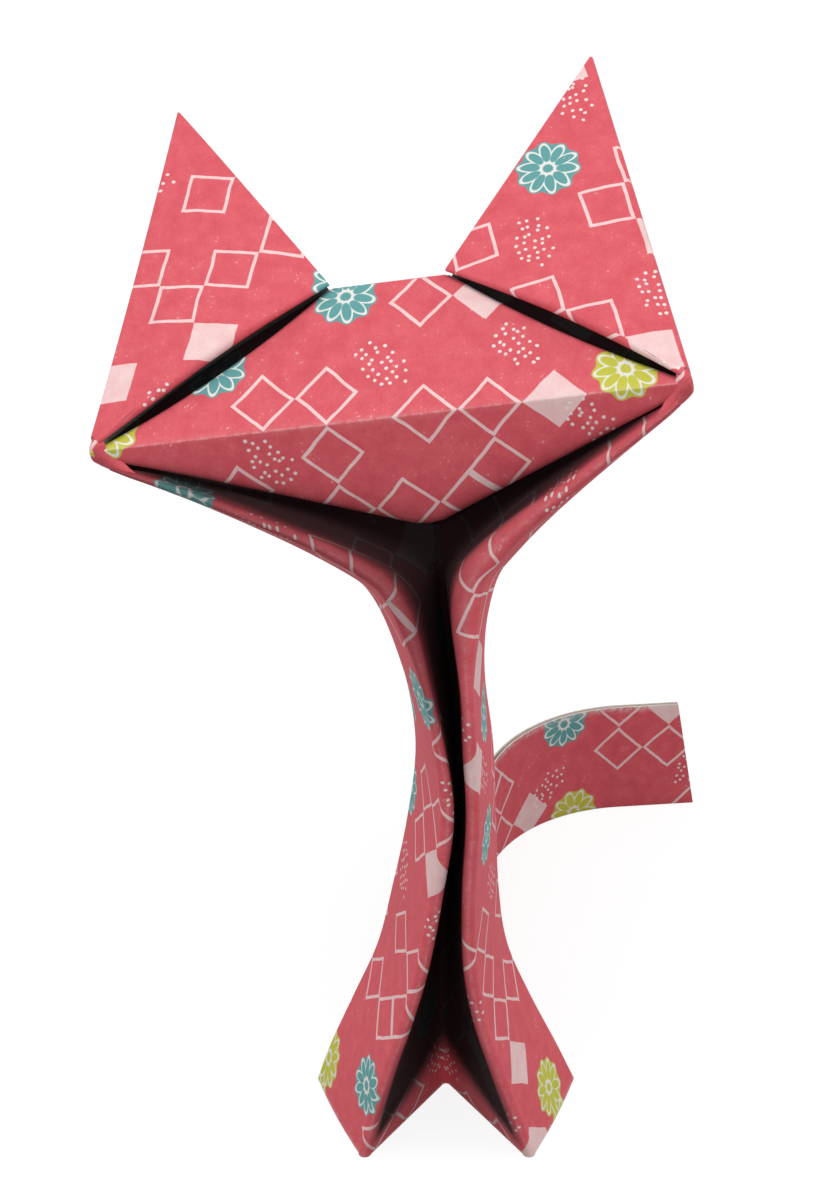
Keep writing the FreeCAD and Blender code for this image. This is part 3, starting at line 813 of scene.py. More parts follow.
    def front(self) -> Skin:
        """Roof of the throat, rolled chin edge, chin, brow, face and its turned-over top.

        Returns:
            The run, printed in front.
        """
        across = np.sin(np.linspace(-math.pi / 2, math.pi / 2, self.columns)) * 0.5
        across = across + np.linspace(-1.0, 1.0, self.columns) * 0.5
        chin, top = self.chin_rows(across), self.top_rows(across)
        local = np.array(chin + self.face_rows(across) + top)
        crease = len(chin) - 1
        face = slice(len(chin), len(local) - len(top))
        along = running_length(local[:, self.columns // 2])
        along = along - along[crease]
        flat = np.stack([local[..., 0], np.repeat(along[:, None], self.columns, axis=1)], axis=-1)
        flat[:crease, :, 1] = -np.hypot(local[:crease, :, 1], local[:crease, :, 2])
        up_face = local[face] @ self.pose.axes()[0]
        flat[face, :, 1] = np.minimum(up_face, along[face][:, None] + self.edge_slack)
        wear = np.zeros(local.shape[:2])
        for rows, worn in ((crease, 0.55), (crease - 1, 0.22), (crease + 1, 0.22),
                           (slice(-len(top), -4), 0.25), (slice(5, 8), 0.12)):
            wear[rows] = worn
        # Shade painted in the throat under the chin, and on the face towards its edges under the ears.
        shade = np.zeros(local.shape[:2])
        shade[:len(self.throat_shade)] = np.array(self.throat_shade)[:, None]
        reach = np.abs(local[face, -1:, 0]) - np.abs(local[face, :, 0])
        shade[face] = self.edge_shade * (1.0 - ease(0.0, self.edge_shade_run, reach))
        return Skin(self.pose.place(local), flat, wear, shade=shade)

    def back(self) -> Skin:
        """Back of the head between the ears.

        Returns:
            The run, printed on the rear.
        """
        base = self.plan.base()
        shares = np.linspace(0.0, 1.0, 15)[:, None]
        edge = self.pose.half - self.back_inset
        side_at = np.linspace(-1.0, 1.0, 33) * (edge + (base[0] - edge) * shares)
        up_at = np.broadcast_to(self.back_low + (base[1] - self.back_trim) * shares, side_at.shape)
        points = self.pose.on_face(side_at, up_at, self.back_out(up_at))
        flat = np.stack([side_at + self.back_flat[0], -up_at + self.back_flat[1]], axis=-1)
        wear = np.zeros(points.shape[:2])
        wear[-1] = self.top_wear
        return Skin(points, flat, wear, printed=-1.0)

    def build(self) -> None:
        """Makes the front and the back of the head."""
        front = [self.front(), self.gutter(Side.LEFT), self.gutter(Side.RIGHT)]
        for name, skins in (("face_and_chin", front), ("back_of_head", [self.back()])):
            make_piece(name, skins, self.finishes, self.thickness)


# ------------------------------------------------------------------ ears
@dataclass
class Ear:
    """One ear: back layer, fold round the outer edge, front layer and its turned-under lower edge."""

    side: Side
    head: Head
    finishes: Finishes
    thickness: float
    lift: float = 1.1
    roll: float = 1.0
    front: float = 0.8
    wrap: float = 0.42
    puff: float = 0.6
    low_rise: float = 0.4
    tuck: float = 7.0
    thin: float = 0.3
    corner_thin: float = 0.35
    thin_from: float = 0.82
    under: float = 0.3
    back_parts: Shares = (0.0, 0.25, 0.5, 0.75, 0.93)
    front_parts: Shares = (0.06, 0.16, 0.28, 0.4, 0.52, 0.64, 0.76, 0.88, 0.95)
    tuck_parts: Shares = (0.4, 1.0)
    edge_wear: float = 0.5
    flat_shift: Pair = (0.0, 0.0)
    corner_layers: Pair = (0.82, -3.2)
    corner_tuck: Point = (-0.7, 0.55, 0.3)
    corner_flat: Pair = (7.0, 31.0)

    def row(self, share: float) -> Rows:
        """One line across the ear, parallel to its inner edge.

        Args:
            share: Place along the outer edge, 0 at the tip and 1 at the head's corner.

        Returns:
            Points as sideways, upward and outward of the face, then wear, and the shade painted on the
            printed and the bare side.
        """
        plan = self.head.plan
        bow = arch(share)
        high, low = (mix(end, plan.corner(), share) for end in (plan.tip(), plan.base()))
        outer = unit(np.array([plan.tip()[1], plan.head_half - plan.tip()[0]]))
        inward = plan.inward()
        full = mix(self.thin, 1.0, bow)
        radius = self.roll * full * mix(self.corner_thin, 1.0, float(ease(1.0, self.thin_from, share)))
        length = plan.leg * (1.0 - share)
        low_at = low + np.array([0.0, self.low_rise * bow])
        behind_low, behind_high = (float(self.head.back_out(spot[1])) for spot in (low, high))
        level = self.front + 2.0 * radius + self.lift * bow ** 1.2
        # After wear, each point carries the shade painted on its printed and its bare side.
        line = []
        for part in self.back_parts:
            behind = mix(behind_low, behind_high, part)
            # Shade painted on the bare side of the back layer, seen through the gap, fading towards the
            # outer edge.
            line.append((*mix(low, high, part), behind, 0.0, 0.0, 1.0 - 0.9 * part))
        half_wrap = (self.front - behind_high) / 2
        reach = min(self.wrap, 0.35 + length * 0.2)
        for angle in np.radians(np.linspace(-90.0, 90.0, 9)):
            spot = high + outer * reach * math.cos(angle)
            worn = self.edge_wear if abs(angle) < 1.0 else 0.0
            line.append((*spot, behind_high + half_wrap * (1.0 + math.sin(angle)), worn, 0.0, 0.0))
        for part in self.front_parts:
            rise_by = (level - self.front) * part ** 1.35 + self.puff * bow * arch(part)
            line.append((*mix(high, low_at, part), self.front + rise_by, 0.0, 0.0, 1.0))
        for angle in np.radians(np.linspace(90.0, -90.0, 11)):
            spot = low_at + inward * radius * (math.cos(angle) - 1.0)
            # Shade painted on the lower half of the roll as it turns under.
            under = float(ease(0.3, -1.0, math.sin(angle)))
            line.append((*spot, level - radius * (1.0 - math.sin(angle)), 0.0, under, 1.0))
        tuck = min(self.tuck, 0.3 * length) * full
        for part in self.tuck_parts:
            spot = low_at - inward * (radius + tuck * part)
            # The tuck gets full painted shade on both sides.
            line.append((*spot, level - 2.0 * radius - self.under * part, 0.0, 1.0, 1.0))
        return np.array(line)

    def skin(self) -> Skin:
        """The whole ear.

        Returns:
            The ear as one run of the sheet.
        """
        plan = self.head.plan
        sign = self.side.value
        shares = np.concatenate([[0.009, 0.024], np.linspace(0.05, 0.9, 22), [0.925, 0.945, 0.962]])
        lines = np.array([self.row(share) for share in shares])
        points = self.head.pose.on_face(sign * lines[..., 0], lines[..., 1], lines[..., 2])
        outer_edge = len(self.back_parts) + 4
        reach = running_length(lines[..., :3])
        reach = reach - reach[:, outer_edge:outer_edge + 1]
        outer = plan.corner() - plan.tip()
        turn = math.atan2(outer[1], outer[0]) + math.pi / 4
        spin = np.array([[math.cos(turn), math.sin(turn)], [-math.sin(turn), math.cos(turn)]])
        flat = (shares[:, None, None] * outer + reach[..., None] * plan.inward()) @ spin.T
        flat[..., 0] *= sign
        flat += np.array(self.flat_shift)
        return Skin(points, flat, lines[..., 3], printed=sign, shade=lines[..., 4], bare_shade=lines[..., 5])

    def corner(self) -> Skin:
        """Run of the sheet round the head's corner, from the ear's outer edge to the lip's end.

        Returns:
            The run, printed outside.
        """
        sign = self.side.value
        half = self.head.pose.half
        up_face, off_face = self.head.pose.axes()
        guides = []
        for up, inset, out in ((6.2, 2.2, 1.15), (4.2, 1.9, 1.4), (2.2, 1.6, 1.5), (0.7, 1.5, 1.7)):
            front, back = (up * up_face[1:] + off * off_face[1:] for off in self.corner_layers)
            guides.append((half - inset, *front, half - inset, *back, half - inset + out))
        guides += [
            (half - 2.0, -0.3, -0.75, half - 1.6, 2.2, -3.0, half + 0.1),
            (half - 3.0, -0.3, -1.9, half - 2.4, 2.5, -3.9, half - 0.6),
            (half - 4.0, -0.6, -3.3, half - 3.4, 2.6, -5.0, half - 2.1),
            (half - 5.1, -1.1, -4.75, half - 4.8, 2.5, -6.0, half - 4.2),
            (half - 6.4, -1.2, -5.75, half - 6.2, 2.2, -7.2, half - 6.2),
        ]
        rows = []
        for guide in through(np.array(guides), 4):
            front, back, reach = guide[:3], guide[3:6], guide[6]
            middle = (front + back) / 2
            line = []
            for angle in np.radians(np.linspace(-90.0, 90.0, 19)):
                spot = middle + (front - back) / 2 * math.sin(angle)
                spot[0] += (reach - middle[0]) * max(math.cos(angle), 0.0) ** 0.75
                line.append(spot)
            rows.append([*line, front + np.array(self.corner_tuck)])
        local = np.array(rows) * np.array([sign, 1.0, 1.0])
        flat = np.stack([running_length(local) * sign, local[..., 2]], axis=-1) + np.array(self.corner_flat)
        return Skin(self.head.pose.place(local), flat, np.zeros(local.shape[:2]), printed=sign)

    def build(self) -> None:
        """Makes the ear with its corner."""
        name = "ear_left" if self.side is Side.LEFT else "ear_right"
        make_piece(name, [self.skin(), self.corner()], self.finishes, self.thickness)


# ------------------------------------------------------------------ node helpers
Value = float | int | tuple | Socket
FLOAT = "NodeSocketFloat"
VECTOR = "NodeSocketVector"


class Graph:
    """Short ways to add nodes to a tree."""

    def __init__(self, tree: Tree) -> None:
        """Keeps the tree that the nodes go into."""
        self.tree = tree

    def feed(self, socket: Socket, value: Value) -> None:
        """Links a socket or sets its value.

        Args:
            socket: Input of a node.
            value: Output to link to it, or the value that it gets.
        """
        if isinstance(value, Socket):
            self.tree.links.new(value, socket)
        else:
            socket.default_value = value

    def add(self, kind: str, feeds: dict[str | int, Value] | None = None, **settings: object) -> Node:
        """Adds a node.

        Args:
            kind: Type of the node.
            feeds: What its inputs get, by their names or numbers.
            settings: Its own settings.

        Returns:
            The node.
        """
        node = self.tree.nodes.new(kind)
        for name, value in settings.items():
            setattr(node, name, value)
        for name, value in (feeds or {}).items():
            self.feed(node.inputs[name], value)
        return node

    def shape(self, kind: str, **feeds: Value) -> Socket:
        """First output of a geometry node, its inputs fed by name with underscores for spaces."""
        named = {name.replace("_", " "): value for name, value in feeds.items()}
        return self.add(f"GeometryNode{kind}", named).outputs[0]

    def math(self, operation: str, *values: Value, clamp: bool = False) -> Socket:
        """Output of a sum on numbers."""
        node = self.add("ShaderNodeMath", dict(enumerate(values)), operation=operation, use_clamp=clamp)
        return node.outputs[0]

    def product(self, *values: Value) -> Socket:
        """Product of numbers, taken from the left."""
        return reduce(lambda total, value: self.math("MULTIPLY", total, value), values)

    def largest(self, masks: list[Socket]) -> Socket:
        """Largest of some masks."""
        return reduce(lambda total, mask: self.math("MAXIMUM", total, mask), masks)

    def vector(self, operation: str, *values: Value) -> Socket:
        """Output of a sum on vectors, which is a number for a length or a distance."""
        node = self.add("ShaderNodeVectorMath", dict(enumerate(values)), operation=operation)
        return node.outputs["Value" if operation in ("LENGTH", "DISTANCE") else "Vector"]

    def parts(self, vector: Value) -> tuple[Socket, ...]:
        """The X, Y and Z of a vector."""
        return tuple(self.add("ShaderNodeSeparateXYZ", {0: vector}).outputs)

    def joined(self, *values: Value) -> Socket:
        """Vector of an X, Y and Z, zero where none is given."""
        return self.add("ShaderNodeCombineXYZ", dict(enumerate(values))).outputs[0]

    def blend(self, share: Value, first: Value, second: Value) -> Socket:
        """Colour between two colours."""
        return self.add("ShaderNodeMix", {0: share, 6: first, 7: second}, data_type="RGBA").outputs[2]

    def cloud(self, place: Value, scale: float, detail: float, rough: float) -> Node:
        """Node for soft noise at a place."""
        feeds = {"Vector": place, "Scale": scale, "Detail": detail, "Roughness": rough}
        return self.add("ShaderNodeTexNoise", feeds, noise_dimensions="3D")

    def shaken(self, place: Value, scale: float, detail: float, reach: float) -> Socket:
        """Small shift on the flat sheet, drawn from soft noise at a place, by as much as the reach."""
        cloud = self.cloud(place, scale, detail, 0.5).outputs["Color"]
        return self.vector("MULTIPLY", self.vector("SUBTRACT", cloud, (0.5, 0.5, 0.5)), (reach, reach, 0.0))

    def ramp(self, value: Value, low: float, high: float) -> Socket:
        """Smooth mask that is 0 below low and 1 above high."""
        feeds = {"Value": value, "From Min": low, "From Max": high}
        return self.add("ShaderNodeMapRange", feeds, interpolation_type="SMOOTHSTEP").outputs[0]

    def group(self, tree: Tree, **values: Value) -> bpy.types.bpy_prop_collection:
        """Outputs of a node group whose inputs are fed by name."""
        return self.add("ShaderNodeGroup", values, node_tree=tree).outputs


def new_group(name: str, inputs: dict[str, Value | None],
              outputs: tuple[str, ...]) -> tuple[Graph, dict[str, Socket], dict[str, Socket]]:
    """Empty shader group with named sockets.

    Args:
        name: Name of the group.
        inputs: Socket name to its start value, or to None where it is a place.
        outputs: Names of the numbers that it gives.

    Returns:
        The graph, and its input and output sockets by name.
    """
    tree = bpy.data.node_groups.new(name, "ShaderNodeTree")
    for key, value in inputs.items():
        kind = VECTOR if value is None else FLOAT
        socket = tree.interface.new_socket(key, in_out="INPUT", socket_type=kind)
        if value is not None:
            socket.default_value = value
    for key in outputs:
        tree.interface.new_socket(key, in_out="OUTPUT", socket_type=FLOAT)
    graph = Graph(tree)
    start, end = graph.add("NodeGroupInput"), graph.add("NodeGroupOutput")
    return graph, {s.name: s for s in start.outputs if s.name}, {s.name: s for s in end.inputs if s.name}


# ------------------------------------------------------------------ tail
@dataclass
class TailStrip:
    """Doubled strip on edge behind the cat, swept along its curl by a node tree."""

    finishes: Finishes
    thickness: float
    reach: float = 93.8
    turn_radius: float = 34.0
    out: float = 44.3
    splay: float = 7.3
    swing: float = 6.0
    slant: float = 4.5
    slant_run: float = 20.0
    gap: float = 0.7
    height: float = 26.4
    start: float = 0.3
    worn_edge: float = 0.6
    join_within: float = 0.03
    flat_shift: Pair = (0.27, 0.94)

    def route(self) -> list[Point]:
        """Line of the strip on the table: straight run, even bend, straight run.

        Returns:
            Points in metres.
        """
        splay, swing = math.radians(self.splay), math.radians(self.swing)
        meet = Vector((self.reach * math.tan(splay), self.reach, 0.0))
        back = Vector((math.sin(splay), math.cos(splay), 0.0))
        away = Vector((math.cos(swing), math.sin(swing), 0.0))
        bend = math.pi / 2 - splay - swing
        bend_in = meet - back * self.turn_radius * math.tan(bend / 2)
        centre = bend_in + Vector((back.y, -back.x, 0.0)) * self.turn_radius
        first, last = back * self.start, meet + away * self.out
        runs, bends, ends = 12, 28, 8
        points = [first.lerp(bend_in, step / runs) for step in range(runs)]
        points += [centre + Matrix.Rotation(-bend * step / bends, 3, "Z") @ (bend_in - centre)
                   for step in range(bends + 1)]
        points += [points[-1].lerp(last, step / ends) for step in range(1, ends + 1)]
        return [tuple(point * MM) for point in points]

    def profile(self, graph: Graph, sizes: dict[str, Socket]) -> Socket:
        """Section of the doubled strip: a side, the fold along the table and the other side.

        Args:
            graph: The tree's graph.
            sizes: The strip's sizes.

        Returns:
            The three lines of the section.
        """
        half = graph.product(graph.math("ADD", sizes["Gap"], sizes["Paper"]), 0.5)
        floor = graph.math("ADD", half, graph.product(sizes["Paper"], 0.5))
        section = graph.add("GeometryNodeJoinGeometry")
        for offset, upward in ((half, True), (graph.product(half, -1.0), False)):
            ends = [graph.joined(offset, level) for level in (floor, sizes["Height"])]
            start, end = ends if upward else ends[::-1]
            line = graph.shape("CurvePrimitiveLine", Start=start, End=end)
            graph.feed(section.inputs[0], graph.shape("ResampleCurve", Curve=line, Count=14))
        arc = graph.shape("CurveArc", Resolution=11, Start_Angle=math.pi, Sweep_Angle=math.pi, Radius=half)
        seat = graph.shape("Transform", Geometry=arc, Translation=graph.joined(0.0, floor))
        graph.feed(section.inputs[0], seat)
        return section.outputs[0]

    def tree(self) -> Tree:
        """Node tree that folds a strip about its lower edge and sweeps it along a route.

        Returns:
            The tree, with the strip's sizes as named inputs.
        """
        tree = bpy.data.node_groups.new("folded_strip_along_route", "GeometryNodeTree")
        face = tree.interface
        face.new_socket("Geometry", in_out="INPUT", socket_type="NodeSocketGeometry")
        defaults = (("Height", self.height * MM), ("Gap", self.gap * MM), ("Paper", self.thickness * MM),
                    ("Slant", self.slant * MM), ("Flat Scale", FLAT_SCALE / MM))
        for name, value in defaults:
            face.new_socket(name, in_out="INPUT", socket_type=FLOAT).default_value = value
        face.new_socket("Print", in_out="INPUT", socket_type="NodeSocketMaterial")
        face.new_socket("Geometry", in_out="OUTPUT", socket_type="NodeSocketGeometry")
        graph = Graph(tree)
        sizes = {socket.name: socket for socket in graph.add("NodeGroupInput").outputs}

        def kept(shape: Socket, fields: dict[str, tuple[str, Socket]]) -> dict:
            """Keeps fields on a shape, as they are at this point of the tree.

            Args:
                shape: The shape.
                fields: Name of each field to its kind and its value.

            Returns:
                The shape's socket, under 0, and the kept fields' sockets by name.
            """
            node = graph.add("GeometryNodeCaptureAttribute")
            for name, (kind, _) in fields.items():
                node.capture_items.new(kind, name)
            for name, (_, value) in fields.items():
                graph.feed(node.inputs[name], value)
            graph.feed(node.inputs[0], shape)
            return {0: node.outputs[0], **{name: node.outputs[name] for name in fields}}

        section = kept(self.profile(graph, sizes), {"Place": ("VECTOR", graph.shape("InputPosition"))})
        length = graph.add("GeometryNodeSplineParameter").outputs["Length"]
        swept = kept(graph.shape("MeshToCurve", Mesh=sizes["Geometry"]),
                     {"Length": ("FLOAT", length), "Way": ("VECTOR", graph.shape("InputTangent"))})
        size = kept(swept[0], {"Whole": ("FLOAT", graph.shape("SplineLength"))})
        upright = graph.shape("Transform", Geometry=section[0], Rotation=(0.0, 0.0, math.pi))
        sweep = graph.shape("CurveToMesh", Curve=size[0], Profile_Curve=upright)
        merge = graph.shape("MergeByDistance", Geometry=sweep, Distance=self.join_within * MM)
        across, up, _ = graph.parts(section["Place"])
        end_run = self.slant_run * MM
        past = graph.math("SUBTRACT", swept["Length"], graph.math("SUBTRACT", size["Whole"], end_run))
        near_end = graph.math("MAXIMUM", graph.math("DIVIDE", past, end_run), 0.0)
        pull = graph.product(graph.math("DIVIDE", up, sizes["Height"]), near_end, sizes["Slant"])
        shift = graph.vector("MULTIPLY", swept["Way"], graph.product(pull, -1.0))
        place = graph.shape("SetPosition", Geometry=merge, Offset=shift)
        rise = graph.product(up, graph.math("SIGN", across), sizes["Flat Scale"])
        along = graph.product(graph.math("SUBTRACT", swept["Length"], pull), sizes["Flat Scale"])
        flat = graph.joined(*(graph.math("ADD", value, shift_by) for value, shift_by
                              in zip((along, rise), self.flat_shift)))
        store = graph.add("GeometryNodeStoreNamedAttribute",
                          {"Name": "flat_sheet", "Geometry": place, "Value": flat},
                          data_type="FLOAT2", domain="CORNER")
        edge = graph.math("GREATER_THAN", up, graph.math("SUBTRACT", sizes["Height"], self.worn_edge * MM))
        worn = graph.add("GeometryNodeStoreNamedAttribute",
                         {"Name": "wear", "Geometry": store.outputs[0], "Value": edge},
                         data_type="FLOAT", domain="POINT")
        smooth = graph.shape("SetShadeSmooth", Geometry=worn.outputs[0])
        real = graph.shape("RealizeInstances", Geometry=smooth)
        graph.add("NodeGroupOutput", {0: graph.shape("SetMaterial", Geometry=real, Material=sizes["Print"])})
        return tree

    def build(self) -> None:
        """Makes the tail."""
        route = bpy.data.meshes.new("tail_route")
        points = self.route()
        route.from_pydata(points, [(i, i + 1) for i in range(len(points) - 1)], [])
        guide = bpy.data.objects.new("tail_guide", route)
        bpy.context.scene.collection.objects.link(guide)
        tree = self.tree()
        modifier = guide.modifiers.new("sweep", "NODES")
        modifier.node_group = tree
        for item in tree.interface.items_tree:
            if item.item_type == "SOCKET" and item.in_out == "INPUT" and item.name == "Print":
                modifier[item.identifier] = self.finishes.printed
        swept = baked(guide)
        bpy.data.objects.remove(guide)
        swept.name = "tail_strip"
        self.thicken(swept)

    def thicken(self, sheet: bpy.types.Mesh) -> None:
        """Gives the swept sheet its thickness, print outside and bare paper inside.

        Args:
            sheet: The swept sheet, with its print facing out.
        """
        sheet.materials.append(self.finishes.bare)
        piece = bpy.data.objects.new("tail_strip", sheet)
        bpy.context.scene.collection.objects.link(piece)
        solid = piece.modifiers.new("paper", "SOLIDIFY")
        solid.thickness = self.thickness * MM
        solid.offset = 0.0
        solid.material_offset = 1
        solid.material_offset_rim = 1
        mesh = baked(piece)
        piece.modifiers.clear()
        piece.data = mesh
        for vertex in mesh.vertices:
            vertex.co.z = max(vertex.co.z, 0.0)
        mark_cut_edges(mesh)
        declare(piece)


def baked(item: bpy.types.Object) -> bpy.types.Mesh:
    """Mesh of an object with its modifiers applied."""
    return bpy.data.meshes.new_from_object(item.evaluated_get(bpy.context.evaluated_depsgraph_get()))


# ------------------------------------------------------------------ shapes of the print
class Motif(Enum):
    """The simple shapes of the print."""

    OUTLINED = "outlined square"
    FILLED = "filled square"
    ROSETTE = "rosette"
    DOTS = "cluster of dots"


@dataclass(frozen=True)
class PrintShapes:
    """Node groups for the shapes of the print, on a repeat of square cells.

    Args:
        cell: Side of a square in millimetres.
        cells: Cells along each side of the repeat.
        line: Width of the squares' lines, as a share of the cell.
        crisp: How keenly the squares' lines end.
        rim: Reach of a rosette's edge, as a share of its radius.
        scallop: Depth of the scallops of that edge.
        loop_wide: Half width of a petal line's loop.
        loop_middle: How far out the loop's middle lies.
        loop_long: Half length of the loop.
        loop_line: Half width of the petal line.
        dot_scatter: How loosely the dots are strewn, 0 to 1.
    """

    cell: float = 7.9
    cells: int = 8
    line: float = 0.085
    crisp: float = 60.0
    rim: float = 0.93
    scallop: float = 0.055
    loop_wide: float = 0.165
    loop_middle: float = 0.54
    loop_long: float = 0.34
    loop_line: float = 0.2
    dot_scatter: float = 0.55

    def squares(self) -> Tree:
        """Group that draws one cell's outline and its filling.

        Returns:
            The group.
        """
        inputs = {"Place": None, "Line": self.line}
        graph, put, out = new_group("cell_square", inputs, ("Outline", "Filling"))
        inside = graph.vector("SUBTRACT", graph.vector("FRACTION", put["Place"]), (0.5, 0.5, 0.0))
        across, up, _ = graph.parts(graph.vector("ABSOLUTE", inside))
        edge = graph.math("SUBTRACT", 0.5, graph.math("MAXIMUM", across, up))
        soft = graph.math("SUBTRACT", put["Line"], edge)
        for name, mask in (("Outline", soft), ("Filling", edge)):
            graph.feed(out[name], graph.math("MULTIPLY", mask, self.crisp, clamp=True))
        return graph.tree

    def picked(self) -> Tree:
        """Group that tells whether a place is in one cell of the repeat.

        Returns:
            The group.
        """
        graph, put, out = new_group("cell_picked", {"Cell": None, "Wanted": None}, ("Mask",))
        near = graph.math("LESS_THAN", graph.vector("DISTANCE", put["Cell"], put["Wanted"]), 0.4)
        graph.feed(out["Mask"], near)
        return graph.tree

    def rosette(self) -> Tree:
        """Group that draws a scalloped disc with looped petal lines.

        Returns:
            The group.
        """
        inputs = {"Place": None, "Centre": None, "Radius": 0.76, "Petals": 10.0, "Turn": 0.0}
        graph, put, out = new_group("rosette", inputs, ("Disc", "Petal Lines"))
        way = graph.vector("SUBTRACT", put["Place"], put["Centre"])
        way = graph.vector("ADD", way, graph.shaken(put["Place"], 1.6, 1.0, 0.1))
        across, up, _ = graph.parts(way)
        angle = graph.math("ADD", graph.math("ARCTAN2", up, across), put["Turn"])
        flat = graph.vector("MULTIPLY", way, (1.0, 1.0, 0.0))
        reach = graph.math("DIVIDE", graph.vector("LENGTH", flat), put["Radius"])
        step = graph.math("DIVIDE", 2.0 * math.pi, put["Petals"])
        folded = graph.math("PINGPONG", angle, graph.product(step, 0.5))
        cup = graph.product(graph.math("COSINE", graph.product(angle, put["Petals"])), self.scallop)
        inside = graph.math("SUBTRACT", graph.math("ADD", self.rim, cup), reach)
        graph.feed(out["Disc"], graph.math("MULTIPLY", inside, 30.0, clamp=True))
        sideways = graph.math("DIVIDE", graph.product(folded, reach), self.loop_wide)
        along = graph.math("DIVIDE", graph.math("SUBTRACT", reach, self.loop_middle), self.loop_long)
        squared = graph.math("ADD", graph.product(sideways, sideways), graph.product(along, along))
        loop = graph.math("SQRT", squared)
        off_line = graph.math("ABSOLUTE", graph.math("SUBTRACT", loop, 1.0))
        line = graph.math("SUBTRACT", self.loop_line, off_line)
        graph.feed(out["Petal Lines"], graph.math("MULTIPLY", line, 9.0, clamp=True))
        return graph.tree

    def dots(self) -> Tree:
        """Group that draws a loose oval cluster of dots.

        Returns:
            The group.
        """
        inputs = {"Place": None, "Centre": None, "Width": 0.72, "Height": 0.42, "Dot": 0.25,
                  "Spacing": 0.185}
        graph, put, out = new_group("dot_cluster", inputs, ("Mask",))
        feeds = {"Vector": put["Place"], "Scale": graph.math("DIVIDE", 1.0, put["Spacing"]),
                 "Randomness": self.dot_scatter}
        dots = graph.add("ShaderNodeTexVoronoi", feeds, voronoi_dimensions="2D").outputs
        seat = graph.vector("SUBTRACT", dots["Position"], put["Centre"])
        oval = graph.vector("DIVIDE", seat, graph.joined(put["Width"], put["Height"], 1.0))
        oval = graph.vector("MULTIPLY", oval, (1.0, 1.0, 0.0))
        inside = graph.math("LESS_THAN", graph.vector("LENGTH", oval), 1.0)
        spot = graph.math("SUBTRACT", put["Dot"], dots["Distance"])
        graph.feed(out["Mask"], graph.product(inside, graph.math("MULTIPLY", spot, 12.0, clamp=True)))
        return graph.tree


# ------------------------------------------------------------------ finishes
Colour = tuple[float, float, float, float]
Cells = tuple[tuple[int, int], ...]


def linear(red: float, green: float, blue: float) -> Colour:
    """Linear colour from display values of 0 to 255."""
    shares = [value / 255.0 for value in (red, green, blue)]
    parts = [part / 12.92 if part <= 0.04045 else ((part + 0.055) / 1.055) ** 2.4 for part in shares]
    return (*parts, 1.0)


@dataclass(frozen=True)
class PaperGrain:
    """Node groups for the paper's own unevenness and the shade painted into its folds, each noise as its
    scale, its detail and its roughness.
    """

    fine: Point = (2600.0, 4.0, 0.65)
    broad: Point = (320.0, 3.0, 0.55)
    strands: Point = (1500.0, 2.0, 0.6)
    pits: Point = (1900.0, 1.0, 0.5)
    rubbed: Point = (900.0, 5.0, 0.7)
    # Noise that makes the edge of the painted shade uneven.
    clouds: Point = (260.0, 3.0, 0.55)
    strand_stretch: Point = (1.0, 3.5, 1.7)

    def fibres(self) -> Tree:
        """Group for the paper's fibres: a fine mottle, a height for the bump, and pale specks.

        Returns:
            The group.
        """
        outputs = ("Mottle", "Height", "Specks")
        graph, put, out = new_group("paper_fibre", {"Place": None, "Strength": 1.0}, outputs)
        fine, broad, pits = (graph.cloud(put["Place"], *grain).outputs["Fac"]
                             for grain in (self.fine, self.broad, self.pits))
        stretched = graph.vector("MULTIPLY", put["Place"], self.strand_stretch)
        strands = graph.cloud(stretched, *self.strands).outputs["Fac"]
        both = graph.math("ADD", graph.product(fine, 0.5), graph.product(strands, 0.5))
        graph.feed(out["Height"], graph.product(both, put["Strength"]))
        graph.feed(out["Mottle"], graph.math("ADD", graph.product(fine, 0.45), graph.product(broad, 0.55)))
        graph.feed(out["Specks"], graph.product(graph.ramp(pits, 0.66, 0.72), graph.ramp(broad, 0.5, 0.68)))
        return graph.tree

    def wear(self) -> Tree:
        """Group for worn print along creases and cut edges, read from the pieces' wear attribute.

        Returns:
            The group.
        """
        graph, put, out = new_group("crease_wear", {"Place": None, "Amount": 1.0}, ("Mask",))
        mark = graph.add("ShaderNodeAttribute", attribute_name="wear").outputs["Fac"]
        broken = graph.ramp(graph.cloud(put["Place"], *self.rubbed).outputs["Fac"], 0.38, 0.62)
        keen = graph.math("POWER", graph.product(mark, put["Amount"]), 1.6)
        rubbed = graph.math("ADD", graph.product(broken, 0.8), 0.2)
        graph.feed(out["Mask"], graph.math("MULTIPLY", keen, rubbed, clamp=True))
        return graph.tree

    def painted_shading(self) -> Tree:
        """Group for the shade painted into the folds, read from the pieces' attribute that holds it.

        Returns:
            The group.
        """
        graph, put, out = new_group("painted_shade_in_folds", {"Place": None, "Amount": 1.0}, ("Mask",))
        mark = graph.add("ShaderNodeAttribute", attribute_name="painted_fold_shade").outputs["Fac"]
        cloud = graph.cloud(put["Place"], *self.clouds).outputs["Fac"]
        # Painted shade, with a cloudy edge.
        uneven = graph.product(graph.math("SUBTRACT", cloud, 0.5), 0.35)
        edge = graph.product(uneven, graph.math("SUBTRACT", 1.0, mark))
        deep = graph.math("ADD", mark, graph.product(edge, mark))
        graph.feed(out["Mask"], graph.math("MULTIPLY", deep, put["Amount"], clamp=True))
        return graph.tree


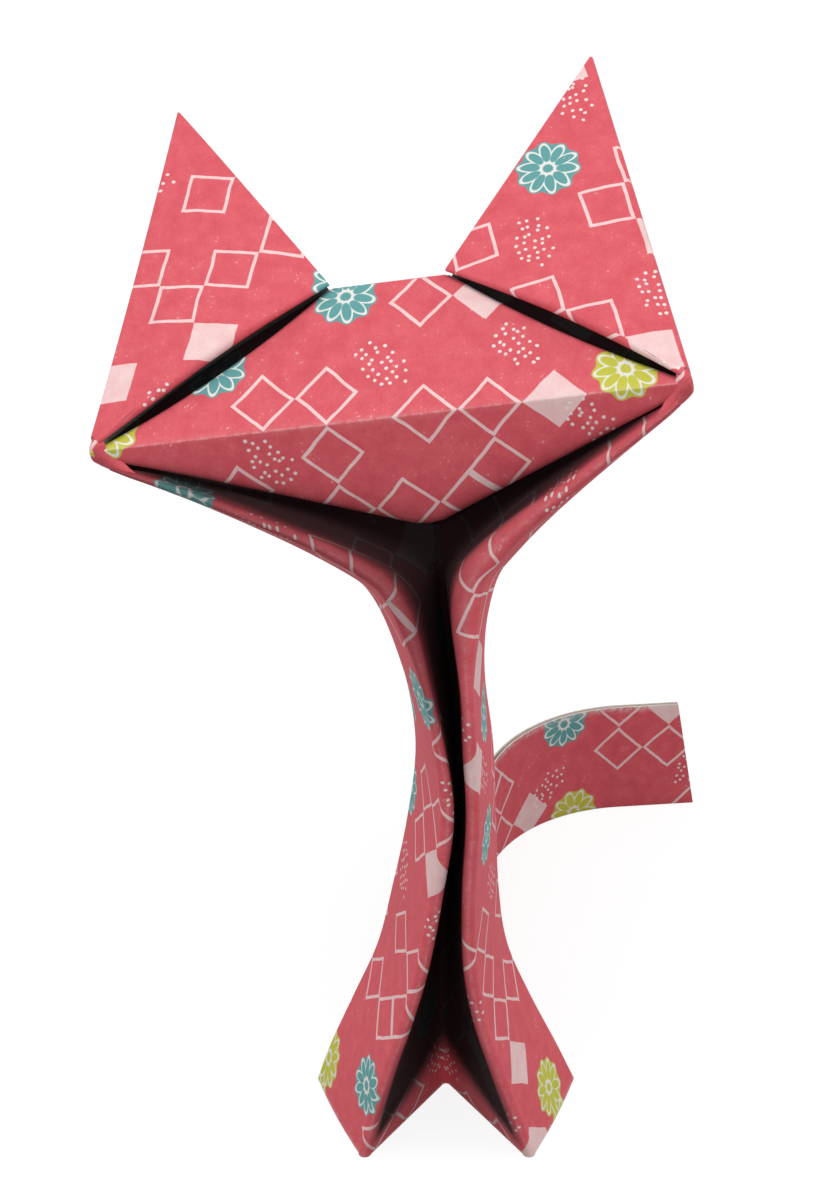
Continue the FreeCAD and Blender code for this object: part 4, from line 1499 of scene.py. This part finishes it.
class Surface:
    """A new material with its graph and its shader."""

    def __init__(self, name: str) -> None:
        """Makes the material.

        Args:
            name: Name of the material.
        """
        self.material = bpy.data.materials.new(name)
        self.material.use_nodes = True
        self.graph = Graph(self.material.node_tree)
        self.shader = self.material.node_tree.nodes["Principled BSDF"]

    def feed(self, values: dict[str, Value]) -> None:
        """Feeds inputs of the shader by name."""
        for name, value in values.items():
            self.graph.feed(self.shader.inputs[name], value)

    def paper(self, colour: Value, rough: Value, deep: Value, gloss: float, height: Value,
              bump: float) -> None:
        """Feeds what both faces of the paper have in common.

        Args:
            colour: Colour of the face.
            rough: Roughness.
            deep: The shade painted into the folds, where its gloss is painted out too.
            gloss: Its gloss where it lies open.
            height: Height of the fibres.
            bump: Strength of their bump.
        """
        fibres = self.graph.add("ShaderNodeBump", {"Strength": bump, "Distance": 0.00012, "Height": height})
        # Gloss fades where shade is painted into the folds.
        self.feed({"Base Color": colour, "Roughness": rough, "Normal": fibres.outputs[0],
                   "Specular IOR Level": self.graph.product(self.graph.math("SUBTRACT", 1.0, deep), gloss)})


@dataclass(frozen=True)
class PrintedPaper:
    """Printed face: coral ground with pale squares, dots and teal rosettes, placed in cells, and shade
    painted into the folds.
    """

    fibre: Tree
    wear: Tree
    # Group of the shade painted into the folds.
    depth: Tree
    shapes: PrintShapes
    ground: Colour = linear(231, 103, 113)
    deep: Colour = linear(216, 83, 96)
    pale: Colour = linear(250, 220, 219)
    teal: Colour = linear(88, 166, 166)
    lime: Colour = linear(203, 206, 70)
    white: Colour = linear(246, 244, 240)
    # Near-black of the shade painted into the folds.
    dark: Colour = linear(37, 34, 35)
    outlined: Cells = ((0, 0), (1, 1), (2, 0), (5, 3), (6, 4), (6, 2), (0, 5), (1, 6), (2, 7), (5, 6),
                       (6, 7), (7, 6))
    filled: Cells = ((2, 2), (7, 3), (1, 4))
    rosettes: tuple[Point, ...] = ((5.1, 1.55, 0.1), (3.25, 3.95, 0.4), (4.05, 6.45, 0.2))
    dots: tuple[Pair, ...] = ((6.95, 0.8), (0.95, 2.95), (6.5, 5.5), (3.4, 2.55))
    lime_row: float = 3.95
    lime_half: float = 0.9
    lime_above: float = 0.45

    def pattern(self, graph: Graph) -> tuple[dict[Motif, Socket], Socket,
                                             Socket]:
        """Masks of every motif on the flat sheet.

        Args:
            graph: The material's graph.

        Returns:
            Masks by motif, the rosettes' petal lines, and a number that picks each rosette's ink.
        """
        flat = graph.add("ShaderNodeUVMap", uv_map="flat_sheet").outputs[0]
        turned = graph.add("ShaderNodeVectorRotate", {"Vector": flat, "Angle": math.radians(45.0)},
                           rotation_type="Z_AXIS").outputs[0]
        cell = self.shapes.cell * FLAT_SCALE
        size = graph.vector("DIVIDE", turned, (cell, cell, 1.0))
        drawn = graph.vector("ADD", size, graph.shaken(size, 1.1, 2.0, 0.12))
        repeat = (float(self.shapes.cells), float(self.shapes.cells), 1.0)
        wrapped = graph.vector("WRAP", drawn, repeat, (0.0, 0.0, 0.0))
        tile = graph.vector("FLOOR", graph.vector("DIVIDE", drawn, repeat))
        spot = graph.vector("FLOOR", wrapped)
        square = graph.group(self.shapes.squares(), Place=wrapped)
        picked, rosette, cluster = self.shapes.picked(), self.shapes.rosette(), self.shapes.dots()

        def any_of(cells: Cells) -> Socket:
            """Mask of the cells in a list."""
            return graph.largest([graph.group(picked, Cell=spot, Wanted=(float(i), float(j), 0.0))[0]
                                  for i, j in cells])

        discs = [graph.group(rosette, Place=wrapped, Centre=(x, y, 0.0), Turn=turn)
                 for x, y, turn in self.rosettes]
        clusters = [graph.group(cluster, Place=wrapped, Centre=(x, y, 0.0)) for x, y in self.dots]
        masks = {
            Motif.OUTLINED: graph.product(any_of(self.outlined), square["Outline"]),
            Motif.FILLED: graph.product(any_of(self.filled), square["Filling"]),
            Motif.ROSETTE: graph.largest([outputs[0] for outputs in discs]),
            Motif.DOTS: graph.largest([outputs[0] for outputs in clusters]),
        }
        petals = graph.largest([outputs[1] for outputs in discs])
        off_row = graph.math("ABSOLUTE", graph.math("SUBTRACT", graph.parts(wrapped)[1], self.lime_row))
        draw = graph.add("ShaderNodeTexWhiteNoise", {"Vector": tile}, noise_dimensions="2D").outputs["Value"]
        choice = graph.product(graph.math("LESS_THAN", off_row, self.lime_half),
                               graph.math("GREATER_THAN", draw, self.lime_above))
        return masks, petals, choice

    def build(self) -> bpy.types.Material:
        """Makes the material.

        Returns:
            The printed paper.
        """
        surface = Surface("printed_paper")
        graph = surface.graph
        place = graph.add("ShaderNodeTexCoord").outputs["Object"]
        fibre = graph.group(self.fibre, Place=place)
        masks, petals, choice = self.pattern(graph)
        mottle = graph.ramp(fibre["Mottle"], 0.32, 0.68)
        thin = graph.math("ADD", graph.product(mottle, 0.22), 0.76)
        colour = graph.blend(mottle, self.deep, self.ground)
        layers = (
            (masks[Motif.OUTLINED], thin, self.pale),
            (masks[Motif.FILLED], thin, self.pale),
            (masks[Motif.DOTS], 0.85, self.white),
            (masks[Motif.ROSETTE], 0.96, graph.blend(choice, self.teal, self.lime)),
            (graph.product(petals, masks[Motif.ROSETTE]), 0.9, self.white),
            (fibre["Specks"], 0.34, self.white),
        )
        for mask, strength, ink in layers:
            colour = graph.blend(graph.product(mask, strength), colour, ink)
        worn = graph.group(self.wear, Place=place, Amount=0.85)[0]
        # Shade painted into the folds, blended towards the near-black.
        deep = graph.group(self.depth, Place=place, Amount=0.97)[0]
        colour = graph.blend(deep, graph.blend(worn, colour, self.white), self.dark)
        rough = graph.math("ADD", 0.62, graph.product(mottle, 0.16))
        rough = graph.math("ADD", rough, graph.product(worn, 0.15))
        surface.paper(colour, rough, deep, gloss=0.32, height=fibre["Height"], bump=0.32)
        return surface.material


@dataclass(frozen=True)
class BarePaper:
    """Unprinted face and cut edges, with shade painted into the folds."""

    fibre: Tree
    # Group of the shade painted into the folds, and its near-black.
    depth: Tree
    shade: Colour = linear(37, 34, 35)
    light: Colour = linear(240, 233, 226)
    dark: Colour = linear(222, 210, 203)

    def build(self) -> bpy.types.Material:
        """Makes the material.

        Returns:
            The bare paper.
        """
        surface = Surface("bare_paper")
        graph = surface.graph
        place = graph.add("ShaderNodeTexCoord").outputs["Object"]
        fibre = graph.group(self.fibre, Place=place, Strength=1.2)
        mottle = graph.ramp(fibre["Mottle"], 0.3, 0.7)
        # Shade painted into the folds.
        deep = graph.group(self.depth, Place=place, Amount=0.95)[0]
        colour = graph.blend(deep, graph.blend(mottle, self.dark, self.light), self.shade)
        rough = graph.math("ADD", 0.78, graph.product(mottle, 0.12))
        surface.paper(colour, rough, deep, gloss=0.25, height=fibre["Height"], bump=0.4)
        return surface.material


# ------------------------------------------------------------------ studio
def seen(graph: Graph) -> Socket:
    """1 where a surface is looked at, also in a mirror or through glass, else 0."""
    rays = graph.add("ShaderNodeLightPath").outputs
    return graph.largest([rays[f"Is {kind} Ray"] for kind in ("Camera", "Glossy", "Transmission")])


@dataclass(frozen=True)
class Lamp:
    """Soft square lamp: its place, what it points at, its power in watts and the side of its face."""

    name: str
    place: Point
    aim: Point
    power: float
    size: float = 0.5
    tint: Point = (1.0, 0.99, 0.975)

    def build(self) -> None:
        """Adds the lamp."""
        data = bpy.data.lights.new(self.name, "AREA")
        data.size = self.size
        data.energy = self.power
        data.color = self.tint
        light = bpy.data.objects.new(self.name, data)
        light.location = self.place
        light.rotation_mode = "QUATERNION"
        light.rotation_quaternion = (Vector(self.aim) - Vector(self.place)).to_track_quat("-Z", "Y")
        bpy.context.scene.collection.objects.link(light)


@dataclass
class Studio:
    """Plain white table and backdrop, soft lamps and the camera."""

    eye: Point = (-0.00587, -0.4615, 0.3755)
    tilt: float = 60.0
    lens: float = 90.09
    table_half: float = 4.0
    table_glow: float = 0.86
    world_level: float = 0.48
    lamps: tuple[Lamp, ...] = (
        Lamp("overhead", (-0.1, -0.3, 0.95), (-0.01, 0.0, 0.12), 3.4, size=0.55),
        Lamp("left_side", (-0.85, -0.1, 0.5), (-0.01, 0.0, 0.1), 1.6),
        Lamp("right_side", (0.85, -0.1, 0.5), (-0.01, 0.0, 0.1), 2.0),
        Lamp("front", (0.0, -0.95, 0.3), (0.0, 0.0, 0.1), 0.45),
        Lamp("rear", (0.1, 0.95, 0.35), (0.0, 0.05, 0.1), 1.4),
    )

    def floor(self) -> None:
        """Makes the table top, white where it is lit and still taking the cat's shadow."""
        mesh = bpy.data.meshes.new("table_top")
        half = self.table_half
        corners = [(-half, -half, 0.0), (half, -half, 0.0), (half, half, 0.0), (-half, half, 0.0)]
        mesh.from_pydata(corners, [], [(0, 1, 2, 3)])
        top = bpy.data.objects.new("table_top", mesh)
        bpy.context.scene.collection.objects.link(top)
        surface = Surface("white_table")
        surface.feed({"Base Color": (0.2, 0.2, 0.2, 1.0), "Roughness": 0.9, "Specular IOR Level": 0.0,
                      "Emission Color": (1.0, 1.0, 1.0, 1.0),
                      "Emission Strength": surface.graph.product(seen(surface.graph), self.table_glow)})
        mesh.materials.append(surface.material)

    def world(self) -> None:
        """Sets an even pale surround, seen as white."""
        world = bpy.data.worlds.new("pale_surround")
        world.use_nodes = True
        bpy.context.scene.world = world
        graph = Graph(world.node_tree)
        back = world.node_tree.nodes["Background"]
        graph.feed(back.inputs["Color"], (1.0, 1.0, 1.0, 1.0))
        level = graph.math("ADD", self.world_level, graph.product(seen(graph), 1.0 - self.world_level))
        graph.feed(back.inputs["Strength"], level)

    def camera(self) -> None:
        """Adds the camera, a little above the cat and in front of it."""
        data = bpy.data.cameras.new("view")
        data.sensor_fit = "AUTO"
        data.sensor_width = 36.0
        data.lens = self.lens
        data.clip_start = 0.01
        camera = bpy.data.objects.new("view", data)
        camera.location = self.eye
        camera.rotation_euler = (math.radians(self.tilt), 0.0, 0.0)
        bpy.context.scene.collection.objects.link(camera)
        bpy.context.scene.camera = camera

    def build(self) -> None:
        """Sets up the whole studio."""
        self.floor()
        for lamp in self.lamps:
            lamp.build()
        self.world()
        self.camera()
        bpy.context.scene.view_settings.view_transform = "Standard"


# ------------------------------------------------------------------ all together
@dataclass
class PaperCat:
    """The whole cat, folded from one strip."""

    thickness: float = 0.24
    pose: HeadPose = field(default_factory=HeadPose)
    plan: EarPlan = field(default_factory=EarPlan)

    def build(self) -> None:
        """Makes the finishes and every piece."""
        grain = PaperGrain()
        # The second group paints shade into the folds.
        fibre, depth = grain.fibres(), grain.painted_shading()
        printed = PrintedPaper(fibre, grain.wear(), depth, PrintShapes()).build()
        finishes = Finishes(printed, BarePaper(fibre, depth).build())
        PleatedLegs(self.pose, finishes, self.thickness).build()
        head = Head(self.pose, self.plan, finishes, self.thickness)
        head.build()
        Ear(Side.LEFT, head, finishes, self.thickness, edge_wear=0.9, flat_shift=(12.0, 20.0)).build()
        Ear(Side.RIGHT, head, finishes, self.thickness, edge_wear=0.35, flat_shift=(31.0, 5.0)).build()
        TailStrip(finishes, self.thickness).build()


def main() -> None:
    """Builds the cat in its studio."""
    logging.basicConfig(level=logging.INFO, format="%(name)s: %(message)s")
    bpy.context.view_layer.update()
    Studio().build()
    PaperCat().build()


if __name__ == "__main__":
    main()
